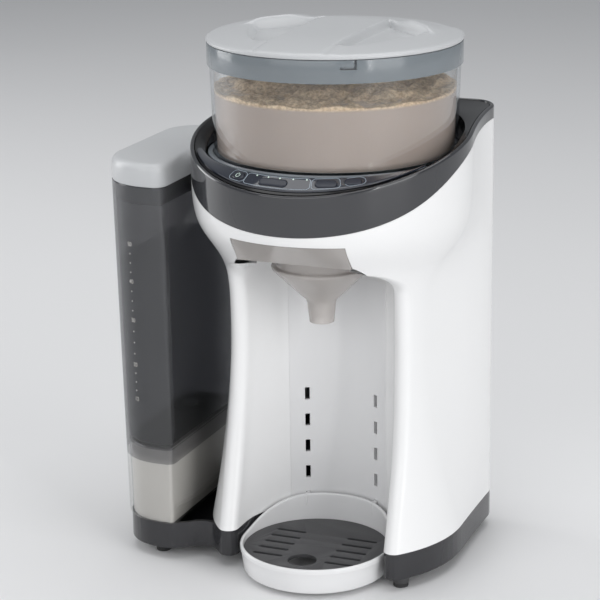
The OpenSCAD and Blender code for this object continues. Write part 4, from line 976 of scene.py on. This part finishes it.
def softened(node, name, body, finish, width, segments=2):
    """A copy of a node's mesh with bevelled edges, in that node's place."""
    mesh = bpy.data.objects[node].data.copy()
    work = bmesh.new()
    work.from_mesh(mesh)
    bmesh.ops.remove_doubles(work, verts=work.verts, dist=WELD)
    bmesh.ops.dissolve_limit(work, angle_limit=math.radians(0.6), verts=work.verts, edges=work.edges)
    edges = [e for e in work.edges if len(e.link_faces) == 2 and e.calc_face_angle(0) > math.radians(28)]
    bmesh.ops.bevel(work, geom=edges, offset=width * MM, segments=segments, profile=0.6,
                    affect="EDGES", clamp_overlap=True)
    bmesh.ops.recalc_face_normals(work, faces=work.faces)
    work.to_mesh(mesh)
    work.free()
    return add_piece(name, smooth(mesh, 32), body, finish, [node])


softened("base_pan", "base", "frame", "dark", 1.6, 4)
softened("feet", "feet_soft", "frame", "foot", 0.7)
softened("foot_pads", "pads_soft", "frame", "rubber", 0.4)
softened("rear_cover", "cover", "frame", "white", 0.5)
softened("power_inlet", "inlet", "frame", "inlet", 0.4)
softened("canister_seat", "seat", "frame", "seat", 0.4)
softened("canister_collar", "collar", "canister", "collar", 0.25)
softened("drip_grille", "grille", "drip_grille", "grille", 0.4)
softened("tank_pedestal", "pedestal", "frame", "pedestal", 0.6)
print("softened mouldings done")

# %% [markdown]
# The funnel is a thin turned cone that flares from the spout to a rolled brim
# under the bay's ceiling, with a flange that slides between the rails. Its lip
# climbs forward from the flange's straight edge to an upper edge that lies at
# one height and follows the face of the housing.

# %% Funnel
funnel_y, funnel_wall, mouth_r = -29.0, 1.6, 30.0
hole_r = mouth_r - funnel_wall
outer = [(8.4, 176), (9.6, 187), (9.9, 189.5), (11, 192.3), (20, 200.5), (27.5, 208), (33.2, 213.6),
         (33.9, 214.6), (33.9, 215.6), (33.3, 216.2), (30.6, 216.6), (30.2, 217.2), (mouth_r, flange_z + 0.5)]
inner = [(hole_r, flange_z + 0.5), (hole_r, 215.6), (27.4, 210.8), (19.2, 202.6),
         (10.2, 194), (8.4, 191), (8.0, 187.4), (6.9, 176)]
bowl = lathe(np.array(outer + inner), 128, (0, funnel_y))

across = np.linspace(-flange_half, flange_half, 65)
edge_y = face_y(across, flange_z + lip_rise) + side_gap
up = np.linspace(0, 1, 9)[:, None]
rise_y = lip_y + (edge_y - lip_y) * up
lip_ys = np.concatenate([rise_y, rise_y[::-1] + lip_back])
lip_zs = np.concatenate([flange_z + lip_rise * up, flange_z + flange_t + (lip_rise - flange_t) * up[::-1]])
lip, lip_faces = sheet_grid(across[None], lip_ys, lip_zs)
lip_faces = grid_faces(*lip_ys.shape, close_rows=True).tolist() + row_ends(*lip_ys.shape)
flange = prism([(-flange_half, lip_y), (flange_half, lip_y), (flange_half, 2), (-flange_half, 2)],
               flange_z, flange_z + flange_t, 2)
turn = turns(96)
hole = np.stack([hole_r * np.cos(turn), funnel_y + hole_r * np.sin(turn)], 1)
flange = cut_out(linked("flange_work", make_mesh("flange", *flange)),
                 [prism(hole, flange_z - 1, flange_z + flange_t + 1, 2)], exact=1)
flange = np.array([v.co[:] for v in flange.vertices]) / MM - AXIS, [list(p.vertices) for p in flange.polygons]
funnel_mesh = make_mesh("mixing_funnel", *joined(bowl, (lip, lip_faces), flange), sharp=30)
add_piece("mixing_funnel", funnel_mesh, "funnel", "funnel", ["funnel"])
print("funnel lip ends from", edge_y.min().round(1), "to", edge_y.max().round(1))

# %% [markdown]
# The drip tray is a turned dish whose rim climbs from the front to the back in
# an S-curve. Its profile is given for each direction at once, with the height
# of the rim as an array.

# %% Drip tray
tray_y, tray_r, tray_foot, ledge_z = -44.5, 52.7, 3.0, 15.1


def rim_height(y):
    """Height of the tray's rim, by how far behind the tray's middle it lies."""
    return 22 + 15 * step(y, -4, 52)


turn = turns(192)
rim = rim_height(tray_r * np.sin(turn))
arc = np.linspace(0, np.pi, 9)
outer = [(0.0, tray_foot), (tray_r - 5.5, tray_foot), (tray_r - 4.2, tray_foot + 0.2),
         (tray_r - 3, tray_foot + 0.9), (tray_r - 2.4, tray_foot + 2), (tray_r - 1.2, tray_foot + 10),
         (tray_r - 0.35, tray_foot + 15)]
inner = [(tray_r - 2.2, ledge_z + 0.5), (tray_r - 2.4, ledge_z + 0.1), (tray_r - 2.9, ledge_z),
         (tray_r - 5.2, ledge_z), (tray_r - 5.8, ledge_z - 0.5), (tray_r - 8, 8.2), (tray_r - 9.5, 6.2),
         (tray_r - 11.5, 5.6), (0.0, 5.6)]
rows = [(r + 0 * rim, z + 0 * rim) for r, z in outer]
bend_z, shoulder = 18.5, rim - 1.3
rows += [(tray_r + 0 * rim, bend_z + (shoulder - bend_z) * t) for t in np.linspace(0.1, 1, 9)]
rows += [(tray_r - 1.1 + 1.1 * np.cos(a) + 0 * rim, shoulder + 1.3 * np.sin(a)) for a in arc[1:]]
fall = np.linspace(0.12, 0.88, 7)
rows += [(tray_r - 2.2 + 0 * rim, shoulder + (ledge_z + 0.5 - shoulder) * t) for t in fall]
rows += [(r + 0 * rim, z + 0 * rim) for r, z in inner]
r, z = np.array([q[0] for q in rows]), np.array([q[1] for q in rows])
dish = sheet_grid(r * np.cos(turn), tray_y + r * np.sin(turn), z, close_columns=True)
hook_x, hook_w, hook_low, hook_high = 25.5, 2.4, base_top + 0.8, base_top + 9.2
hook_back = box_mm("drip_tray")[1][1]
hook_front = tray_y + math.sqrt(tray_r ** 2 - (hook_x + hook_w) ** 2) - 1
hooks = []
for side in (-1, 1):
    outline = rounded([(hook_front, hook_low), (hook_back, hook_low, 1.2), (hook_back, hook_high, 2.0),
                       (hook_front, hook_high)], 0.2)
    x = side * hook_x + np.array([-0.5, -0.5, -0.4, 0.4, 0.5, 0.5])[:, None] * hook_w
    centre = outline.mean(0)
    shrink = np.array([0.0, 0.93, 1, 1, 0.93, 0.0])[:, None]
    y, z = (centre[k] + (outline[:, k] - centre[k]) * shrink for k in (0, 1))
    hooks.append(sheet_grid(x, y, z, close_columns=True))
tray_mesh = make_mesh("tray", *joined(dish, *hooks), sharp=40)
add_piece("tray", tray_mesh, "drip_tray", "tray", ["drip_tray"])
print("tray rim from", rim.min().round(1), "to", rim.max().round(1))

# %% [markdown]
# The water tank is a clear wall round a big radius in front and tight ones at
# the machine's side, and it tapers a little towards its foot. One function
# gives its outline at any height and inset, so the wall, its lid, the water and
# the printed scale all follow the same surface.

# %% Water tank
tank_left, tank_right, tank_front, tank_back = -149.5, -98.0, -69.0, 66.0
tank_h, taper, tank_wall, tank_corners = 242, 3.9, 2.2, (38, 9, 9, 26)
tank_rim, tank_floor = base_top + tank_h, base_top + 55
valve_x, valve_y, valve_r = (tank_left + tank_right) / 2, 20.0, 9.0


def tank_outline(z, inset, steps=24):
    """Points round the tank as rows over z and inset, from the front left corner on."""
    z, inset = (np.asarray(v, float).reshape(-1, 1) for v in np.broadcast_arrays(z, inset))
    t = taper * np.clip((tank_rim - z) / tank_h, 0, 1)
    corners = ((tank_left + t, tank_front + t, 1, 1, 180), (tank_right + 0 * t, tank_front + t, -1, 1, 270),
               (tank_right + 0 * t, tank_back - t, -1, -1, 0), (tank_left + t, tank_back - t, 1, -1, 90))
    xs, ys = [], []
    for (x0, y0, sx, sy, start), radius in zip(corners, tank_corners):
        c = radius - t
        r = np.maximum(c - inset, 0.3)
        a = np.radians(np.linspace(start, start + 90, steps))
        xs.append(x0 + sx * (inset + r) + r * np.cos(a))
        ys.append(y0 + sy * (inset + r) + r * np.sin(a))
    return np.concatenate(xs, 1), np.concatenate(ys, 1), np.repeat(z, steps * 4, 1)


def tank_shell(levels, closed=True):
    """A surface from rows of (z, inset, share towards the valve's circle, radius of that circle)."""
    levels = np.array(levels, float)
    x, y, z = tank_outline(levels[:, 0], levels[:, 1])
    share, radius = levels[:, 2:3], levels[:, 3:4]
    far = np.hypot(x - valve_x, y - valve_y)
    cx, cy = valve_x + (x - valve_x) / far * radius, valve_y + (y - valve_y) / far * radius
    x, y = x * (1 - share) + cx * share, y * (1 - share) + cy * share
    points = np.stack([x, y, z], -1)
    return points.reshape(-1, 3), grid_faces(*x.shape, close_rows=closed, close_columns=True)


foot = base_top + 0.3
up = [(z, 0, 0, 0) for z in np.linspace(foot + 0.6, tank_rim - 0.4, 12)]
down = [(z, tank_wall, 0, 0) for z in np.linspace(tank_rim - 0.4, tank_floor + 4, 10)]
floor_up = tank_floor + 2.5
wall = [(foot, 0.6, 0, 0), *up, (tank_rim, 0.4, 0, 0), (tank_rim, tank_wall - 0.4, 0, 0), *down,
        (floor_up + 0.5, tank_wall + 0.3, 0, 0), (floor_up, tank_wall + 1.5, 0, 0),
        (floor_up, tank_wall, 0.5, valve_r), (floor_up, tank_wall, 1, valve_r),
        (tank_floor, tank_wall, 1, valve_r), (tank_floor, tank_wall, 0.5, valve_r),
        (tank_floor, tank_wall + 1, 0, 0), (tank_floor - 1, tank_wall, 0, 0), (foot, tank_wall, 0, 0)]
tank_mesh = make_mesh("tank", *tank_shell(wall), sharp=40)
tank = add_piece("tank", tank_mesh, "tank", "shaded_smoke", ["tank_body"])
# Faces above the tank's floor keep the dark tint with its painted shade; those below it take the nearly clear
# foot tint.
tank.data.materials.append(finishes["smoke_foot"].material)
face_heights = np.array([p.center.z for p in tank.data.polygons]) / MM
tank.data.polygons.foreach_set("material_index", (face_heights < tank_floor - 0.5).astype(np.int32))

lid_top, skirt = box_mm("tank_lid")[1][2], tank_wall + 0.4
cover = [(lid_top, 6, 1, 0), (lid_top, 6, 0.5, 0), (lid_top, 6, 0, 0), (lid_top - 0.15, 4, 0, 0),
         (lid_top - 0.8, 2.2, 0, 0), (lid_top - 2, 1.0, 0, 0), (lid_top - 4, 0.25, 0, 0),
         (lid_top - 6, 0, 0, 0), (tank_rim + 1, 0, 0, 0), (tank_rim + 0.3, 0.3, 0, 0), (tank_rim, 0.9, 0, 0),
         (tank_rim, skirt + 0.2, 0, 0), (tank_rim - 0.4, skirt, 0, 0), (tank_rim - 12.4, skirt, 0, 0),
         (tank_rim - 13, skirt + 0.5, 0, 0), (tank_rim - 13, skirt + 1.6, 0, 0),
         (tank_rim - 12.4, skirt + 2, 0, 0), (lid_top - 3, skirt + 2, 0, 0), (lid_top - 3, skirt + 2, 1, 0)]
cover_mesh = make_mesh("tank_cover", *tank_shell(cover, False), sharp=40)
add_piece("tank_cover", cover_mesh, "tank_lid", "lid", ["tank_lid"])

surface, gap, boss_r = 211.0, 0.12, valve_r + 3.4
water_low = floor_up + gap
water_rows = [(surface, tank_wall + 1.2, 1, 0), (surface, tank_wall + 1.2, 0.5, 0),
              (surface, tank_wall + 1.2, 0, 0), (surface + 0.15, tank_wall + 0.7, 0, 0),
              (surface + 0.7, tank_wall + gap, 0, 0),
              *[(z, tank_wall + gap, 0, 0) for z in np.linspace(surface - 1, tank_floor + 5, 9)],
              (tank_floor + 3.1, tank_wall + 0.5, 0, 0), (water_low, tank_wall + 1.7, 0, 0),
              (water_low, tank_wall, 0.6, boss_r), (water_low, tank_wall, 1, boss_r),
              (tank_floor + 12, tank_wall, 1, boss_r), (tank_floor + 12.5, tank_wall, 1, 0)]
water_mesh = make_mesh("water", *tank_shell(water_rows, False), sharp=40)
add_piece("water", water_mesh, "tank", "water")
print("tank to", round(tank_rim, 1), "water to", surface)

# %% [markdown]
# Marks are thin sheets of ink. Text becomes a mesh in its own plane, and its
# points are then laid on the surface across the tank's round corner for the
# scale. Fine strips and dots are bent up the slope for the panel the same way.

# %% Tank scale
ink = Finish("printed_ink", Roughness=0.5)
ink.set("Base Color", ink.tint(ink.noise(600, 2), (0.42, 0.41, 0.38), (0.62, 0.6, 0.56)))
finishes["ink"] = ink
corner_radius, scale_angle = tank_corners[0], 249
corner_x, corner_y = tank_left + corner_radius, tank_front + corner_radius


def flat_text(words, height):
    """Points (x, y) and faces of a line of plain text, in millimetres."""
    curve = bpy.data.curves.new("text_work", "FONT")
    curve.body, curve.size, curve.align_x, curve.align_y = words, height, "CENTER", "CENTER"
    curve.resolution_u = 4
    holder = linked("text_work", curve)
    bpy.context.view_layer.update()
    mesh = baked(holder)
    points = np.zeros(len(mesh.vertices) * 3)
    mesh.vertices.foreach_get("co", points)
    faces = [list(p.vertices) for p in mesh.polygons]
    bpy.data.objects.remove(holder)
    bpy.data.meshes.remove(mesh)
    bpy.data.curves.remove(curve)
    return points.reshape(-1, 3)[:, :2], faces


def on_corner(points, angle, z):
    """Flat points laid on the tank's front left corner, round from angle, about the height z."""
    level = z + points[:, 1]
    t = taper * np.clip((tank_rim - level) / tank_h, 0, 1)
    a = np.radians(angle) + points[:, 0] / corner_radius
    r = corner_radius - t + 0.05
    return np.stack([corner_x + r * np.cos(a), corner_y + r * np.sin(a), level], -1)


def disc(radius, steps=14):
    a = turns(steps)
    return np.stack([radius * np.cos(a), radius * np.sin(a)], -1), [list(range(steps))]


scale_marks = []
number_heights = {"50": 228, "40": 201.6, "30": 174, "20": 142, "12": 117}
for words, z in number_heights.items():
    points, faces = flat_text(words, 4.2)
    scale_marks.append((on_corner(points, scale_angle, z), faces))
levels = sorted(number_heights.values())
for z in [v + (w - v) * share for v, w in zip(levels, levels[1:]) for share in (0.25, 0.5, 0.75)]:
    points, faces = disc(0.5)
    scale_marks.append((on_corner(points, scale_angle, z), faces))
add_piece("tank_scale", make_mesh("tank_scale", *joined(*scale_marks)), "tank", "ink")
print("scale with", len(scale_marks), "marks")

# %% [markdown]
# The panel's marks lie on the slope, in millimetres along it and up it (v) from
# the middle of the film. Thin outlines stand round the groups of keys, and
# a row of small lamps stands over the widest one.

# %% Panel marks
print_ink = Finish("panel_ink", Roughness=0.35)
print_ink.set("Base Color", print_ink.tint(print_ink.noise(500, 2), (0.3, 0.36, 0.42), (0.42, 0.48, 0.54)))
finishes["print"] = print_ink
print_r = 92.0
lamp = Finish("panel_lamp", Roughness=0.3, Emission_Strength=0.35)
lamp.set("Base Color", lamp.tint(lamp.noise(500, 2), (0.5, 0.6, 0.55), (0.66, 0.74, 0.68)))
lamp.set("Emission Color", lamp.tint(lamp.noise(300, 2), (0.55, 0.8, 0.62), (0.7, 0.9, 0.75)))
finishes["lamp"] = lamp


def on_panel(points, angle, v=0.0, lift=0.05):
    """Flat points laid on the film, about a place v up the slope at an angle."""
    a = angle + np.degrees(points[:, 0] / print_r)
    length = np.linalg.norm(on_slope(a, 1.0) - on_slope(a, 0.0), axis=1)
    return on_slope(a, panel_middle - (points[:, 1] + v) / length, panel_up + lift)


def outline_strip(length, width, corner, line, steps=8):
    """A thin closed strip along a rectangle with round corners."""
    a = np.radians(np.arange(0, 360, 90 / steps)[None] + 45 / steps)
    quarter = np.floor(np.degrees(a) / 90)
    sx = np.where((quarter == 0) | (quarter == 3), 1, -1)
    sy = np.where(quarter < 2, 1, -1)
    r = corner - np.array([[0.0], [line]])
    x = sx * (length / 2 - corner) + r * np.cos(a)
    y = sy * (width / 2 - corner) + r * np.sin(a)
    fine = np.arange(x.shape[1] * 12) / 12
    wrap = np.arange(x.shape[1] + 1)
    rows = [np.stack([np.interp(fine, wrap, np.append(v[k], v[k][0])) for v in (x, y)], -1) for k in range(2)]
    return np.concatenate(rows), grid_faces(2, len(fine), close_columns=True)


marks = []
for angle, length, width, corner in ((-21.5, 13.0, 9.0, 3.5), (-3.2, 46.0, 9.4, 2.6), (17.25, 18.6, 9.2, 3.0),
                                     (28.9, 13.8, 8.2, 4.05)):
    points, faces = outline_strip(length, width, corner, 0.32)
    marks.append((on_panel(points, angle), faces))
add_piece("panel_print", make_mesh("panel_print", *joined(*marks)), "frame", "print")

lamps = []
for angle in (-12.9, -7.4, -2.1, 3.7, 9.4):
    points, faces = disc(0.55)
    lamps.append((on_panel(points, angle, v=3.6, lift=0.06), faces))
add_piece("panel_lamps", make_mesh("panel_lamps", *joined(*lamps)), "frame", "lamp")

origin, along, climb, out = slope_axes(key_places["power_key"][0])
a = np.radians(np.linspace(-235, 55, 40))
arc = np.concatenate([np.stack([r * np.cos(a), r * np.sin(a), 0 * a], -1) for r in (1.75, 1.35)])
bar = np.array([(-0.2, 0.5, 0), (0.2, 0.5, 0), (0.2, 2.2, 0), (-0.2, 2.2, 0)])
points, faces = joined((arc, grid_faces(2, len(a))), (bar, [[0, 1, 2, 3]]))
points = origin + points[:, :1] * along + points[:, 1:2] * climb + 0.79 * out
add_piece("power_sign", make_mesh("power_sign", points, faces), "power_key", "lamp")
print("panel marks:", len(marks), "outlines,", len(lamps), "lamps")

# %% [markdown]
# Every other node keeps the frame's mesh. The drive, the pump, the heater and
# the boards are seen only when the machine is taken apart, but each still gets
# the finish of its material.

# %% Finishes for the frame's own nodes
node_finish = {
    "brass": "shaft_bush motor_pinion", "steel": "cover_screws drive_shaft hub_nut heater",
    "sheet": "gearmotor motor_bracket heater_stand", "board": "panel_board main_board",
    "nylon": "dosing_wheel drive_gear", "pump": "water_pump pump_cradle", "tube": "water_tube",
    "inner": "powder_chute hopper_ring stirrer valve_plunger", "seal": "lid_seal",
    "rubber": "valve_seat foot_pads", "pedestal": "pedestal_pin tank_pedestal",
    "bay": "funnel_rails water_nozzle bay_back_panel", "funnel": "funnel", "tray": "drip_tray",
    "white": "housing_shell rear_cover", "dark": "base_pan", "foot": "feet", "ring": "top_ring",
    "deck": "top_deck", "film": "control_panel", "key": "power_key volume_key start_key info_key",
    "seat": "canister_seat", "clear": "canister_body", "collar": "canister_collar",
    "lid": "canister_lid tank_lid", "grille": "drip_grille", "shaded_smoke": "tank_body", "inlet": "power_inlet",
}
for finish, names in node_finish.items():
    for name in names.split():
        for material_slot in bpy.data.objects[name].material_slots:
            material_slot.material = finishes[finish].material

# %% [markdown]
# The machine stands on a plain pale floor that runs out of sight. Large soft
# boxes light it from the front, both sides and above, beside one narrow strip,
# and their edges draw the upright reflections in the glossy parts.

# %% Floor and light
floor_finish = Finish("floor", Roughness=0.6)
floor_tint = floor_finish.tint(floor_finish.noise(3, 2), (0.78, 0.78, 0.785), (0.8, 0.8, 0.805))
floor_finish.set("Base Color", floor_tint)
reach, below = 14.0, -0.0002
floor_mesh = bpy.data.meshes.new("floor")
floor_mesh.from_pydata([(x * reach, y * reach, below) for x, y in ((-1, -1), (1, -1), (1, 1), (-1, 1))],
                       [], [(0, 1, 2, 3)])
floor_mesh.materials.append(floor_finish.material)
floor = linked("floor", floor_mesh)

world = bpy.data.worlds.new("studio")
bpy.context.scene.world = world
world.use_nodes = True
background = world.node_tree.nodes["Background"].inputs
background["Color"].default_value, background["Strength"].default_value = (0.9, 0.93, 0.97, 1), 0.3


def soft_box(name, place, aim, width, height, power):
    data = bpy.data.lights.new(name, "AREA")
    data.shape, data.size, data.size_y, data.energy = "RECTANGLE", width, height, power
    light = linked(name, data)
    back = np.array(place, float) - aim
    back /= np.linalg.norm(back)
    side = np.cross((0, 0, 1), back)
    side = side / np.linalg.norm(side) if np.linalg.norm(side) > 1e-3 else np.array([1.0, 0, 0])
    pose = np.eye(4)
    pose[:3, :] = np.stack([side, np.cross(back, side), back, place], 1)
    light.matrix_world = Matrix(pose.tolist())
    light.visible_camera = False


middle = np.array([0, 0, 0.19])
soft_box("front_light", (-0.3, -2.6, 1.2), middle, 3.2, 2.0, 30)
soft_box("left_light", (-2.2, 0.1, 0.9), middle, 1.0, 1.8, 20)
soft_box("right_light", (2.2, -0.9, 0.9), middle, 1.4, 1.8, 24)
soft_box("strip_light", (1.9, -1.5, 0.7), middle, 0.1, 1.5, 5)
soft_box("top_light", (0.1, 0.2, 2.2), middle, 2.2, 2.2, 24)

bpy.context.scene.view_settings.view_transform = "Standard"
